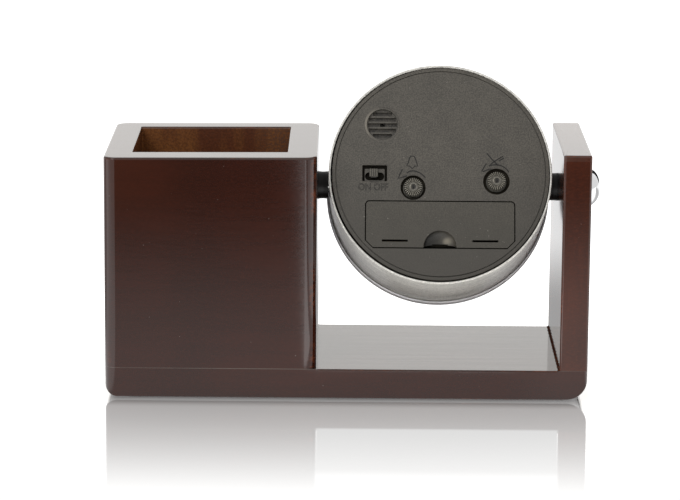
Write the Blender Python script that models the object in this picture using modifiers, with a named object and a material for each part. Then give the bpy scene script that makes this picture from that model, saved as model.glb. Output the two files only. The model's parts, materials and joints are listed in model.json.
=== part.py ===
"""Desk clock: a round alarm clock that tilts between a wooden pen box and an upright board.

Units are metres and +Z is up. The origin is at the centre of the felt's underside. The dial faces -Y,
the pen box is on the +X side and the clock tilts about an axis along X.
Clock pieces are children of the empty clock_frame. In its axes +Z points out of the dial, +Y is the
dial's twelve o'clock direction, and the rear cover faces -Z.
"""

import math

import bmesh
import bpy
from mathutils import Matrix, Vector

MM = 0.001
TURN = 2 * math.pi

# Fits
SEAT_GAP = 0.3 * MM
RUNNING_GAP = 0.2 * MM
OVERRUN = 1.0 * MM

# Facets round a turned piece
RIM_STEPS = 40
DISC_STEPS = 24
SMALL_STEPS = 16
ARBOR_STEPS = 8

# Faces that meet at less than this angle count as one flat face
FLAT_ANGLE = math.radians(0.5)

# Corners closer together than this are one corner
WELD_DISTANCE = 0.001 * MM

# Wooden stand
STAND_LENGTH = 196.0 * MM
STAND_DEPTH = 78.0 * MM
BASE_THICKNESS = 12.1 * MM
FELT_THICKNESS = 0.8 * MM
FELT_INSET = 9.0 * MM
BOX_HEIGHT = 86.5 * MM
BOX_OUTER_WALL = 11.2 * MM
BOX_INNER_WALL = 12.2 * MM
BOX_REAR_WALL = 12.6 * MM
BOX_FRONT_WALL = 10.0 * MM
UPRIGHT_THICKNESS = 11.4 * MM
UPRIGHT_HEIGHT = 88.8 * MM
BOX_CORNER_RADIUS = 4.8 * MM
UPRIGHT_CORNER_RADIUS = 1.5 * MM
BASE_BOX_END_RADIUS = 5.0 * MM
BASE_UPRIGHT_END_RADIUS = 8.4 * MM
ROUND_SEGMENTS = 4

# Dowels under the upright
DOWEL_RADIUS = 3.0 * MM
DOWEL_LENGTH = 26.0 * MM
DOWEL_IN_BASE = 7.0 * MM
DOWEL_END_ROOM = 0.5 * MM
DOWEL_SPACING = 46.0 * MM

# Pivot of the clock in the stand
PIVOT_HEIGHT = 68.6 * MM
PIVOT_SIDE_SHIFT = 0.45 * MM
BEZEL_SIDE_ROOM = 2.95 * MM
REST_TILT = math.radians(23.0)
BUSH_RADIUS = 5.6 * MM
SCREW_RADIUS = 2.5 * MM
SCREW_CLEARANCE = 0.3 * MM
SCREW_HEAD_RADIUS = 4.4 * MM
SCREW_HEAD_HEIGHT = 2.4 * MM
SCREW_POINT = 1.0 * MM
HEAD_RECESS_DEPTH = 3.2 * MM
HEAD_RECESS_ROOM = 0.8 * MM
DOME_RADIUS = 8.0 * MM
DOME_HEIGHT = 6.2 * MM
DOME_WALL = 0.9 * MM
DOME_RIM = 0.8 * MM
WASHER_RADIUS = 4.6 * MM
WASHER_THICKNESS = 0.8 * MM
NUT_RADIUS = 4.5 * MM
NUT_THICKNESS = 3.2 * MM

# Clock case
CASE_RADIUS = 45.4 * MM
CASE_WALL = 0.8 * MM
CASE_DEPTH = 44.8 * MM
CASE_REAR_SHIFT = 0.8 * MM
CASE_RIM_ROUND = 0.35 * MM
BEZEL_OVERHANG = 1.0 * MM
BEZEL_HEIGHT = 5.5 * MM
BEZEL_LIP = 1.3 * MM
BEZEL_ROUND = 1.0 * MM
BEZEL_FACE_WIDTH = 4.8 * MM
BEZEL_OPENING_CHAMFER = 0.5 * MM
LENS_THICKNESS = 1.5 * MM
DIAL_RING_DEPTH = 6.2 * MM
DIAL_RING_WIDTH = 2.2 * MM
DIAL_RING_SLOPE = 1.4 * MM
DIAL_THICKNESS = 0.6 * MM

# Rear cover
COVER_RECESS = 0.8 * MM
COVER_MARGIN = 1.5 * MM
COVER_SHIFT_X = -0.2 * MM
COVER_SHIFT_Y = 0.3 * MM
COVER_PLATE = 2.0 * MM
COVER_FLANGE_WIDTH = 1.1 * MM
COVER_FLANGE_DROP = 0.3 * MM
COVER_GROOVE_WIDTH = 0.35 * MM
COVER_GROOVE_DEPTH = 0.35 * MM
SKIRT_INSET = 0.4 * MM
SKIRT_WALL = 1.5 * MM
NUT_NOTCH_ROOM = 1.2 * MM
GRIP_RIB_WIDTH = 2.0 * MM
GRIP_RIB_COUNT = 4

# Sounder grille in the rear cover. Its place is a share of the cover's radius
GRILLE_X_SHARE = 0.5367
GRILLE_Y_SHARE = 0.4683
GRILLE_RADIUS = 6.4 * MM
GRILLE_DEPTH = 0.6 * MM
GRILLE_MARGIN = 0.5 * MM
GRILLE_SLOT = 1.0 * MM
GRILLE_PITCH = 2.25 * MM
GRILLE_SLOT_COUNT = 5
SOUNDER_RADIUS = 8.0 * MM
SOUNDER_HEIGHT = 4.0 * MM
CHAMBER_WALL = 1.2 * MM
CHAMBER_HEIGHT = 4.6 * MM

# Alarm switch
SWITCH_X = 26.63 * MM
SWITCH_Y = 0.06 * MM
WINDOW_LENGTH = 10.0 * MM
WINDOW_WIDTH = 6.3 * MM
WINDOW_DEPTH = 1.2 * MM
SLOT_LENGTH = 7.8 * MM
SLOT_WIDTH = 3.3 * MM
SLOT_DROP = 0.7 * MM
SLIDER_LENGTH = 3.4 * MM
SLIDER_WIDTH = 3.4 * MM
SLIDER_PLATE = 0.5 * MM
SLIDER_RIB_COUNT = 4
SLIDER_RIB_SHARE = 0.5
SLIDER_RIB_HEIGHT = 0.3 * MM
SLIDER_RISE = 0.9 * MM
SLIDER_OFFSET = 0.4 * MM
STEM_LENGTH = 2.4 * MM
STEM_WIDTH = 1.5 * MM
STEM_DEPTH_IN_SWITCH = 0.8 * MM
SLIDER_TRAVEL = 2.0 * MM
SWITCH_LENGTH = 10.0 * MM
SWITCH_WIDTH = 5.8 * MM
SWITCH_HEIGHT = 3.4 * MM
SWITCH_GAP = 1.2 * MM
BOARD_LENGTH = 17.0 * MM
BOARD_WIDTH = 12.0 * MM
BOARD_THICKNESS = 1.0 * MM
BOARD_PEG_RADIUS = 1.3 * MM
CRYSTAL_RADIUS = 1.0 * MM
CRYSTAL_LENGTH = 6.0 * MM

# Battery and its bay
BATTERY_RADIUS = 7.1 * MM
BATTERY_LENGTH = 50.4 * MM
BATTERY_NUB_RADIUS = 2.7 * MM
BATTERY_NUB_LENGTH = 1.2 * MM
BATTERY_EDGE = 0.6 * MM
BAY_Y = -20.84 * MM
BAY_SIDE_ROOM = 0.5 * MM
BAY_WALL = 1.2 * MM
CONTACT_THICKNESS = 0.4 * MM
CONTACT_HEIGHT = 9.0 * MM
CONTACT_WIDTH = 10.0 * MM
SPRING_LENGTH = 5.4 * MM
SPRING_WIRE_RADIUS = 0.3 * MM
SPRING_BASE_RADIUS = 5.6 * MM
SPRING_TIP_RADIUS = 3.4 * MM
SPRING_CURLS = 3
SPRING_POINTS = 10

# Battery door
DOOR_LENGTH = 60.3 * MM
DOOR_WIDTH = 19.2 * MM
DOOR_THICKNESS = 1.6 * MM
DOOR_GAP = 0.3 * MM
DOOR_CORNER_RADIUS = 1.5 * MM
DOOR_CHAMFER = 3.0 * MM
DOOR_FRAME = 1.3 * MM
DOOR_LEDGE = 1.2 * MM
SCOOP_RADIUS = 6.6 * MM
SCOOP_DEPTH = 1.2 * MM
LATCH_LENGTH = 10.6 * MM
LATCH_X = 18.3 * MM
LATCH_SLOT = 0.8 * MM
LATCH_FROM_EDGE = 2.8 * MM
LATCH_LEG = 2.2 * MM
LATCH_LEG_WALL = 0.7 * MM
TAB_WIDTH = 4.0 * MM
TAB_X = 19.0 * MM
TAB_REACH = 0.8 * MM
TAB_THICKNESS = 1.1 * MM
TAB_ROOM = 0.5 * MM

# Setting knobs
KNOB_TIP_RADIUS = 3.7 * MM
KNOB_RIB_DEPTH = 0.3 * MM
KNOB_RIB_COUNT = 26
KNOB_FLANGE_RADIUS = 4.1 * MM
KNOB_FLANGE_THICKNESS = 0.9 * MM
KNOB_PROUD = 2.4 * MM
KNOB_DIMPLE_RADIUS = 0.9 * MM
KNOB_DIMPLE_DEPTH = 0.6 * MM
KNOB_BORE_ROOM = 1.2 * MM
WELL_DEPTH = 2.4 * MM
WELL_FLOOR = 1.2 * MM
WELL_WALL = 1.1 * MM
ALARM_WELL_RADIUS = 4.95 * MM
TIME_WELL_RADIUS = 5.3 * MM
KNOB_ARBOR_RADIUS = 0.9 * MM

# Gear teeth, as shares of the module and of the tooth pitch
ADDENDUM_SHARE = 0.75
DEDENDUM_SHARE = 1.05
ROOT_SHARE = 0.8
FREE_PHASE = math.radians(3.0)

# Alarm setting gears
ALARM_MODULE = 0.618 * MM
ALARM_WHEEL_TEETH = 30
ALARM_PINION_TEETH = 10
ALARM_KNOB_ANGLE = math.radians(-27.1)

# Motion work between the minute and the hour hand
MOTION_MODULE = 0.75 * MM
CANNON_TEETH = 8
MOTION_WHEEL_TEETH = 24
MOTION_PINION_TEETH = 6
HOUR_WHEEL_TEETH = 24
TIME_PINION_TEETH = 8
MOTION_ANGLE = math.radians(170.3)
TIME_KNOB_ANGLE = math.radians(203.9)

# Going train from the rotor to the centre wheel
TRAIN_DISTANCE = 9.0 * MM
ROTOR_DISTANCE = 7.0 * MM
ROTOR_TEETH = 6
FIFTH_WHEEL_TEETH = 30
FIFTH_PINION_TEETH = 6
SECOND_WHEEL_TEETH = 36
SECOND_PINION_TEETH = 6
THIRD_WHEEL_TEETH = 45
THIRD_PINION_TEETH = 6
CENTRE_WHEEL_TEETH = 48
THIRD_ANGLE = math.radians(45.0)
FIFTH_ANGLE = math.radians(135.0)
ROTOR_ANGLE = math.radians(170.0)
TRAIN_ARBOR_RADIUS = 0.3 * MM

# Movement layers, counted back from the dial
MOVEMENT_PLATE = 1.2 * MM
MOTION_THICKNESS = 0.8 * MM
TRAIN_THICKNESS = 0.6 * MM
LAYER_GAP = 0.5 * MM
PINION_OVERHANG = 0.2 * MM
PIVOT_DEPTH = 0.6 * MM

# Movement case
MOVEMENT_RIGHT = 16.5 * MM
MOVEMENT_LEFT = 28.0 * MM
MOVEMENT_TOP = 18.4 * MM
MOVEMENT_BOTTOM = 12.2 * MM
MOVEMENT_WALL = 1.2 * MM
LUG_RADIUS = 3.2 * MM
LUG_OFFSET = 4.0 * MM
LUG_Y = 8.0 * MM
CASE_SCREW_RADIUS = 1.1 * MM
CASE_SCREW_LENGTH = 8.0 * MM
CASE_SCREW_HEAD_RADIUS = 2.0 * MM
CASE_SCREW_HEAD_HEIGHT = 0.9 * MM
POST_RADIUS = 2.4 * MM
PILLAR_RADIUS = 1.2 * MM
PILLAR_INSET = 3.4 * MM
CENTRE_BUSH_WALL = 1.0 * MM
CENTRE_BUSH_LENGTH = 2.9 * MM
CENTRE_NUT_WALL = 2.2 * MM
CENTRE_NUT_THICKNESS = 1.4 * MM

# Motor
MAGNET_RADIUS = 2.3 * MM
MAGNET_THICKNESS = 1.6 * MM
STATOR_THICKNESS = 0.6 * MM
STATOR_AIR_GAP = 0.4 * MM
STATOR_SIDE = 2.2 * MM
STATOR_LEG = 2.4 * MM
COIL_LENGTH = 5.8 * MM
COIL_RADIUS = 1.5 * MM
COIL_FLANGE = 0.8 * MM
COIL_FLANGE_RISE = 0.25 * MM
CORE_THICKNESS = 0.7 * MM
CORE_WIDTH = 2.0 * MM
COIL_Y = 14.8 * MM

# Pipes and hands at the centre
SECOND_ARBOR_RADIUS = 0.5 * MM
PIPE_WALL = 0.5 * MM
CANNON_SHANK_WALL = 0.8 * MM
HAND_THICKNESS = 0.4 * MM
HAND_GAP = 0.3 * MM
HAND_HUB_WALL = 1.3 * MM
HAND_BORE_GAP = 0.1 * MM
HOUR_HAND_LENGTH = 21.0 * MM
HOUR_HAND_WIDTH = 3.0 * MM
MINUTE_HAND_LENGTH = 31.0 * MM
MINUTE_HAND_WIDTH = 2.2 * MM
SECOND_HAND_LENGTH = 33.0 * MM
SECOND_HAND_WIDTH = 0.8 * MM
ALARM_HAND_LENGTH = 17.0 * MM
ALARM_HAND_WIDTH = 1.4 * MM
HAND_TAIL_SHARE = 0.22
HAND_TIP_SHARE = 0.35
REST_HOURS = 10
REST_MINUTES = 10
REST_SECONDS = 30
REST_ALARM_HOURS = 7

# Levels of the stand above the floor
BASE_BOTTOM_Z = FELT_THICKNESS
BASE_TOP_Z = BASE_BOTTOM_Z + BASE_THICKNESS
BOX_TOP_Z = BASE_TOP_Z + BOX_HEIGHT
UPRIGHT_TOP_Z = BASE_TOP_Z + UPRIGHT_HEIGHT
PIVOT_Z = BASE_TOP_Z + PIVOT_HEIGHT

# Round outlines of the clock
BEZEL_RADIUS = CASE_RADIUS + BEZEL_OVERHANG
BEZEL_OPENING_RADIUS = BEZEL_RADIUS - BEZEL_FACE_WIDTH
CASE_INNER_RADIUS = CASE_RADIUS - CASE_WALL
STACK_RADIUS = CASE_INNER_RADIUS - SEAT_GAP
COVER_RADIUS = CASE_RADIUS - COVER_MARGIN
SKIRT_RADIUS = COVER_RADIUS - SKIRT_INSET
GRILLE_X = GRILLE_X_SHARE * COVER_RADIUS
GRILLE_Y = GRILLE_Y_SHARE * COVER_RADIUS

# Places of the stand along X and Y. The pen box takes the length that the clock and the upright leave
STAND_END_X = STAND_LENGTH / 2
STAND_SIDE_Y = STAND_DEPTH / 2
BOX_LENGTH = STAND_LENGTH - UPRIGHT_THICKNESS - 2 * (BEZEL_RADIUS + BEZEL_SIDE_ROOM)
BOX_INNER_X = STAND_END_X - BOX_LENGTH
UPRIGHT_INNER_X = -STAND_END_X + UPRIGHT_THICKNESS
PIVOT_X = (BOX_INNER_X + UPRIGHT_INNER_X) / 2 - PIVOT_SIDE_SHIFT

# Levels of the clock along its own Z, from the rear rim to the dial side
REAR_Z = -CASE_DEPTH / 2 - CASE_REAR_SHIFT
FRONT_Z = CASE_DEPTH / 2 - CASE_REAR_SHIFT
BEZEL_REAR_Z = FRONT_Z - BEZEL_HEIGHT
LIP_REAR_Z = FRONT_Z - BEZEL_LIP
LENS_FRONT_Z = LIP_REAR_Z - SEAT_GAP
LENS_REAR_Z = LENS_FRONT_Z - LENS_THICKNESS
RING_FRONT_Z = LENS_REAR_Z - SEAT_GAP
RING_REAR_Z = RING_FRONT_Z - DIAL_RING_DEPTH
DIAL_FRONT_Z = RING_REAR_Z - SEAT_GAP
DIAL_REAR_Z = DIAL_FRONT_Z - DIAL_THICKNESS
MOVEMENT_FRONT_Z = DIAL_REAR_Z - SEAT_GAP
COVER_Z = REAR_Z + COVER_RECESS
COVER_INNER_Z = COVER_Z + COVER_PLATE

# Front faces of the movement's layers
PLATE_REAR_Z = MOVEMENT_FRONT_Z - MOVEMENT_PLATE
ALARM_LAYER_Z = PLATE_REAR_Z - LAYER_GAP
HOUR_LAYER_Z = ALARM_LAYER_Z - MOTION_THICKNESS - LAYER_GAP
MOTION_LAYER_Z = HOUR_LAYER_Z - MOTION_THICKNESS - LAYER_GAP
MIDDLE_PLATE_Z = MOTION_LAYER_Z - MOTION_THICKNESS - LAYER_GAP
CENTRE_LAYER_Z = MIDDLE_PLATE_Z - MOTION_THICKNESS - LAYER_GAP
THIRD_LAYER_Z = CENTRE_LAYER_Z - TRAIN_THICKNESS - LAYER_GAP
SECOND_LAYER_Z = THIRD_LAYER_Z - TRAIN_THICKNESS - LAYER_GAP
FIFTH_LAYER_Z = SECOND_LAYER_Z - TRAIN_THICKNESS - LAYER_GAP
REAR_PLATE_Z = FIFTH_LAYER_Z - TRAIN_THICKNESS - LAYER_GAP
MOVEMENT_REAR_Z = REAR_PLATE_Z - MOVEMENT_PLATE

# Nested pipes at the centre, outer radii
CANNON_BORE = SECOND_ARBOR_RADIUS + RUNNING_GAP
CANNON_PIPE_RADIUS = CANNON_BORE + PIPE_WALL
HOUR_BORE = CANNON_PIPE_RADIUS + RUNNING_GAP
HOUR_PIPE_RADIUS = HOUR_BORE + PIPE_WALL
ALARM_BORE = HOUR_PIPE_RADIUS + RUNNING_GAP
ALARM_PIPE_RADIUS = ALARM_BORE + PIPE_WALL
CENTRE_BUSH_BORE = ALARM_PIPE_RADIUS + RUNNING_GAP
CENTRE_BUSH_RADIUS = CENTRE_BUSH_BORE + CENTRE_BUSH_WALL
CANNON_SHANK_RADIUS = CANNON_BORE + CANNON_SHANK_WALL

# Front faces of the hands
ALARM_HAND_Z = MOVEMENT_FRONT_Z + CENTRE_BUSH_LENGTH + HAND_GAP + HAND_THICKNESS
HOUR_HAND_Z = ALARM_HAND_Z + HAND_GAP + HAND_THICKNESS
MINUTE_HAND_Z = HOUR_HAND_Z + HAND_GAP + HAND_THICKNESS
SECOND_HAND_Z = MINUTE_HAND_Z + HAND_GAP + HAND_THICKNESS


def polar(distance, angle):
    """Point in the dial's plane at a distance from the centre."""
    return Vector((distance * math.cos(angle), distance * math.sin(angle)))


def gear_distance(module, teeth, other_teeth):
    """Distance between the arbors of two gears in mesh."""
    return module * (teeth + other_teeth) / 2


def gear_module(distance, teeth, other_teeth):
    """Module that two gears need on arbors that far apart."""
    return 2 * distance / (teeth + other_teeth)


def mesh_phase(driver_phase, driver_teeth, teeth, direction):
    """Angle of a tooth of a gear that lies in the given direction from its driver and meshes with it."""
    driver_share = (driver_phase - direction) * driver_teeth / TURN
    half_tooth_share = 0.5
    return direction + TURN / 2 + TURN / teeth * (half_tooth_share - driver_share)


# Arbors in the dial's plane
ALARM_ARBOR = polar(gear_distance(ALARM_MODULE, ALARM_WHEEL_TEETH, ALARM_PINION_TEETH), ALARM_KNOB_ANGLE)
MOTION_ARBOR = polar(gear_distance(MOTION_MODULE, CANNON_TEETH, MOTION_WHEEL_TEETH), MOTION_ANGLE)
TIME_ARBOR = MOTION_ARBOR + polar(
    gear_distance(MOTION_MODULE, MOTION_WHEEL_TEETH, TIME_PINION_TEETH), TIME_KNOB_ANGLE)
THIRD_ARBOR = polar(TRAIN_DISTANCE, THIRD_ANGLE)
FIFTH_ARBOR = polar(TRAIN_DISTANCE, FIFTH_ANGLE)
ROTOR_ARBOR = FIFTH_ARBOR + polar(ROTOR_DISTANCE, ROTOR_ANGLE)
CENTRE = Vector((0, 0))

# Modules of the going train, from its arbor distances
CENTRE_MODULE = gear_module(TRAIN_DISTANCE, THIRD_PINION_TEETH, CENTRE_WHEEL_TEETH)
THIRD_MODULE = gear_module(TRAIN_DISTANCE, SECOND_PINION_TEETH, THIRD_WHEEL_TEETH)
SECOND_MODULE = gear_module(TRAIN_DISTANCE, FIFTH_PINION_TEETH, SECOND_WHEEL_TEETH)
FIFTH_MODULE = gear_module(ROTOR_DISTANCE, ROTOR_TEETH, FIFTH_WHEEL_TEETH)
HOUR_MODULE = gear_module(MOTION_ARBOR.length, MOTION_PINION_TEETH, HOUR_WHEEL_TEETH)


# Scene, collections and materials

def clear_scene():
    """Remove whatever the file holds."""
    for item in list(bpy.data.objects):
        bpy.data.objects.remove(item, do_unlink=True)


def new_collection(name):
    """Collection linked to the scene."""
    collection = bpy.data.collections.new(name)
    bpy.context.scene.collection.children.link(collection)
    return collection


def linear(channel):
    """Linear value of one sRGB channel given from 0 to 255."""
    value = channel / 255
    if value <= 0.04045:
        return value / 12.92
    return ((value + 0.055) / 1.055) ** 2.4


def material(name, colour, roughness, metallic=0.0, alpha=1.0):
    """Principled material with an sRGB colour from 0 to 255."""
    made = bpy.data.materials.new(name)
    made.use_nodes = True
    shader = made.node_tree.nodes["Principled BSDF"]
    shader.inputs["Base Color"].default_value = (*[linear(channel) for channel in colour], 1.0)
    shader.inputs["Roughness"].default_value = roughness
    shader.inputs["Metallic"].default_value = metallic
    shader.inputs["Alpha"].default_value = alpha
    return made


clear_scene()
PARTS = new_collection("desk_clock")
CUTTERS = new_collection("cutters")

WOOD = (58, 36, 29)
BLACK_PLASTIC = (36, 31, 28)
COVER_PLASTIC = (88, 85, 78)
SILVER = (186, 184, 180)
STEEL = (168, 168, 166)
BRASS = (196, 164, 96)
WHITE_PLASTIC = (226, 224, 214)


# Solids

def link(item, parent=None, guide=False):
    """Put an object among the parts, or among the cutters as a hidden guide."""
    if guide:
        CUTTERS.objects.link(item)
        item.hide_render = True
        item.display_type = "WIRE"
    else:
        PARTS.objects.link(item)
    item.parent = parent
    return item


def solid_from(shape, name, parent, guide):
    """Object from a bmesh."""
    mesh = bpy.data.meshes.new(name)
    shape.to_mesh(mesh)
    shape.free()
    return link(bpy.data.objects.new(name, mesh), parent, guide)


def box(name, low, high, parent=None, guide=False):
    """Box between two corners, with its origin in its middle."""
    size = Vector(high) - Vector(low)
    shape = bmesh.new()
    bmesh.ops.create_cube(shape, size=1)
    bmesh.ops.scale(shape, vec=size, verts=shape.verts)
    item = solid_from(shape, name, parent, guide)
    item.location = (Vector(high) + Vector(low)) / 2
    return item


def cylinder(name, radius, low, high, place=CENTRE, steps=SMALL_STEPS, parent=None, guide=False):
    """Upright cylinder between two levels, with its origin on its axis at level zero."""
    shape = bmesh.new()
    bmesh.ops.create_cone(shape, cap_ends=True, segments=steps, radius1=radius, radius2=radius,
                          depth=high - low)
    bmesh.ops.translate(shape, vec=(0, 0, (low + high) / 2), verts=shape.verts)
    item = solid_from(shape, name, parent, guide)
    item.location = (place.x, place.y, 0)
    return item


def revolve(name, profile, steps, parent=None, guide=False, closed=False):
    """Turned solid about Z. The profile lists (radius, level) down the outer side, then up the inner one."""
    shape = bmesh.new()
    points = [shape.verts.new((radius, 0, level)) for radius, level in profile]
    for start, end in zip(points, points[1:]):
        shape.edges.new((start, end))
    if closed:
        shape.edges.new((points[-1], points[0]))
    item = solid_from(shape, name, parent, guide)
    turn = item.modifiers.new("turn", "SCREW")
    turn.axis = "Z"
    turn.angle = TURN
    turn.steps = steps
    turn.render_steps = steps
    turn.use_merge_vertices = True
    turn.merge_threshold = WELD_DISTANCE
    return item


def slab(name, outlines, low, high, place=CENTRE, parent=None, guide=False):
    """Flat piece from closed outlines in the XY plane, between two levels. Its origin is at level zero."""
    curve = bpy.data.curves.new(name, "CURVE")
    curve.dimensions = "2D"
    curve.fill_mode = "BOTH"
    curve.extrude = (high - low) / 2
    for outline in outlines:
        spline = curve.splines.new("POLY")
        spline.points.add(len(outline) - 1)
        for point, (x, y) in zip(spline.points, outline):
            point.co = (x, y, 0, 1)
        spline.use_cyclic_u = True
    item = mesh_from_curve(name, curve, parent, guide)
    item.data.transform(Matrix.Translation((0, 0, (low + high) / 2)))
    item.location = (place.x, place.y, 0)
    return item


def mesh_from_curve(name, curve, parent=None, guide=False):
    """Mesh object with a curve's evaluated surface, its caps welded."""
    source = bpy.data.objects.new(name, curve)
    PARTS.objects.link(source)
    bpy.context.view_layer.update()
    mesh = bpy.data.meshes.new_from_object(source.evaluated_get(bpy.context.evaluated_depsgraph_get()))
    bpy.data.objects.remove(source, do_unlink=True)
    shape = bmesh.new()
    shape.from_mesh(mesh)
    bmesh.ops.remove_doubles(shape, verts=shape.verts, dist=WELD_DISTANCE)
    bmesh.ops.recalc_face_normals(shape, faces=shape.faces)
    bmesh.ops.dissolve_limit(shape, angle_limit=FLAT_ANGLE, verts=shape.verts, edges=shape.edges)
    shape.to_mesh(mesh)
    shape.free()
    mesh.name = name
    mesh.materials.clear()
    return link(bpy.data.objects.new(name, mesh), parent, guide)


def boolean(target, other, operation):
    """Cut or join another solid, which becomes a hidden guide."""
    step = target.modifiers.new(other.name, "BOOLEAN")
    step.operation = operation
    step.object = other
    return target


def carve(target, *cutters):
    """Cut solids out of a piece."""
    for cutter in cutters:
        boolean(target, cutter, "DIFFERENCE")
    return target


def join(target, *additions):
    """Grow solids onto a piece."""
    for addition in additions:
        boolean(target, addition, "UNION")
    return target


def round_edges(item, radius, wanted):
    """Round the edges whose middle and direction the test wants. Both are in the parent's axes."""
    shape = bmesh.new()
    shape.from_mesh(item.data)
    chosen = []
    for edge in shape.edges:
        start, end = [vert.co + item.location for vert in edge.verts]
        if wanted((start + end) / 2, (end - start).normalized()):
            chosen.append(edge)
    bmesh.ops.bevel(shape, geom=chosen, offset=radius, segments=ROUND_SEGMENTS, profile=0.5, affect="EDGES")
    shape.to_mesh(item.data)
    shape.free()
    return item


def finish(item, look, sharp_angle=0.6):
    """Give a piece its own material and smooth shading between sharp edges."""
    item.data.materials.append(look)
    item.data.shade_smooth()
    item.data.set_sharp_from_angle(angle=sharp_angle)
    return item


# Outlines

def rounded_rectangle(length, width, radius, steps=4):
    """Outline round the origin with round corners."""
    points = []
    quarter = TURN / 4
    for corner, (side_x, side_y) in enumerate(((1, 1), (-1, 1), (-1, -1), (1, -1))):
        middle = Vector((side_x * (length / 2 - radius), side_y * (width / 2 - radius)))
        for step in range(steps + 1):
            points.append(middle + polar(radius, quarter * (corner + step / steps)))
    return points


def door_outline(grow):
    """Battery door's outline, made larger all round: round corners at the top, chamfers at the bottom."""
    half_length = DOOR_LENGTH / 2 + grow
    top = BAY_Y + DOOR_WIDTH / 2 + grow
    bottom = BAY_Y - DOOR_WIDTH / 2 - grow
    radius = DOOR_CORNER_RADIUS + grow
    chamfer = DOOR_CHAMFER + grow / 2
    quarter = TURN / 4
    steps = 3
    points = []
    for corner, side in enumerate((1, -1)):
        middle = Vector((side * (half_length - radius), top - radius))
        for step in range(steps + 1):
            points.append(middle + polar(radius, quarter * (corner + step / steps)))
    points.append(Vector((-half_length, bottom + chamfer)))
    points.append(Vector((-half_length + chamfer, bottom)))
    points.append(Vector((half_length - chamfer, bottom)))
    points.append(Vector((half_length, bottom + chamfer)))
    return points


def gear_outline(teeth, module, phase):
    """Outline of a gear with pointed teeth, one of them centred on the phase angle."""
    pitch_radius = module * teeth / 2
    tip = pitch_radius + ADDENDUM_SHARE * module
    root = pitch_radius - DEDENDUM_SHARE * module
    pitch = TURN / teeth
    corners = ((root, -ROOT_SHARE), (tip, 0), (root, ROOT_SHARE))
    points = []
    for tooth in range(teeth):
        for radius, share in corners:
            points.append(polar(radius, phase + pitch * (tooth + share / 2)))
    return points


def serrated_outline(radius, depth, count):
    """Round outline with pointed ribs."""
    points = []
    for rib in range(count):
        angle = TURN * rib / count
        points.append(polar(radius, angle))
        points.append(polar(radius - depth, angle + TURN / count / 2))
    return points


# Wooden stand

def is_upright(direction):
    """True for an edge along Z."""
    almost_along_share = 0.99
    return abs(direction.z) > almost_along_share


def make_base():
    """Base board with round corners, and with round lower edges at its two ends."""
    low = (-STAND_END_X, -STAND_SIDE_Y, BASE_BOTTOM_Z)
    high = (STAND_END_X, STAND_SIDE_Y, BASE_TOP_Z)
    base = box("base_board", low, high)
    round_edges(base, BOX_CORNER_RADIUS, lambda middle, along: is_upright(along) and middle.x > 0)
    round_edges(base, UPRIGHT_CORNER_RADIUS, lambda middle, along: is_upright(along) and middle.x < 0)
    carve(base, end_cutter(1, BASE_BOX_END_RADIUS), end_cutter(-1, BASE_UPRIGHT_END_RADIUS))
    for hole in dowel_cutters("base"):
        carve(base, hole)
    return finish(base, material("base_lacquer", WOOD, 0.12))


def end_cutter(side, radius):
    """What lies outside the round lower edge at one end of the base, drawn in X and Z."""
    centre = Vector((side * (STAND_END_X - radius), BASE_BOTTOM_Z + radius))
    outline = []
    for step in range(ROUND_SEGMENTS + 1):
        angle = TURN / 4 * step / ROUND_SEGMENTS
        outline.append(centre + radius * Vector((side * math.cos(angle), -math.sin(angle))))
    outline.append(Vector((centre.x, BASE_BOTTOM_Z - OVERRUN)))
    outline.append(Vector((side * (STAND_END_X + OVERRUN), BASE_BOTTOM_Z - OVERRUN)))
    outline.append(Vector((side * (STAND_END_X + OVERRUN), centre.y)))
    reach = STAND_SIDE_Y + OVERRUN
    cutter = slab(f"base_end_{side}", [outline], -reach, reach, guide=True)
    cutter.rotation_euler.x = TURN / 4
    return cutter


def make_felt():
    """Felt sheet under the base. Its underside is what the clock stands on."""
    reach_x = STAND_END_X - FELT_INSET
    reach_y = STAND_SIDE_Y - FELT_INSET
    felt = box("base_felt", (-reach_x, -reach_y, 0), (reach_x, reach_y, FELT_THICKNESS))
    return finish(felt, material("felt", (30, 30, 32), 0.95))


def make_box_walls():
    """Four walls of the pen box. The front and rear walls run the full length, the others fit between."""
    inner_y_rear = STAND_SIDE_Y - BOX_REAR_WALL
    inner_y_front = -STAND_SIDE_Y + BOX_FRONT_WALL
    rear = box("box_rear_wall", (BOX_INNER_X, inner_y_rear, BASE_TOP_Z),
               (STAND_END_X, STAND_SIDE_Y, BOX_TOP_Z))
    front = box("box_front_wall", (BOX_INNER_X, -STAND_SIDE_Y, BASE_TOP_Z),
                (STAND_END_X, inner_y_front, BOX_TOP_Z))
    outer = box("box_outer_wall", (STAND_END_X - BOX_OUTER_WALL, inner_y_front, BASE_TOP_Z),
                (STAND_END_X, inner_y_rear, BOX_TOP_Z))
    inner = box("box_inner_wall", (BOX_INNER_X, inner_y_front, BASE_TOP_Z),
                (BOX_INNER_X + BOX_INNER_WALL, inner_y_rear, BOX_TOP_Z))
    round_edges(rear, BOX_CORNER_RADIUS,
                lambda middle, along: is_upright(along) and middle.y > inner_y_rear)
    round_edges(front, BOX_CORNER_RADIUS,
                lambda middle, along: is_upright(along) and middle.y < inner_y_front)
    for wall in (rear, front, outer, inner):
        finish(wall, material(wall.name + "_lacquer", WOOD, 0.12))
    return inner


def make_upright():
    """Upright board at the clock's other side."""
    low = (-STAND_END_X, -STAND_SIDE_Y, BASE_TOP_Z)
    high = (UPRIGHT_INNER_X, STAND_SIDE_Y, UPRIGHT_TOP_Z)
    board = box("upright_board", low, high)
    round_edges(board, UPRIGHT_CORNER_RADIUS, lambda middle, along: is_upright(along))
    for hole in dowel_cutters("upright"):
        carve(board, hole)
    return finish(board, material("upright_lacquer", WOOD, 0.12))


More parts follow.
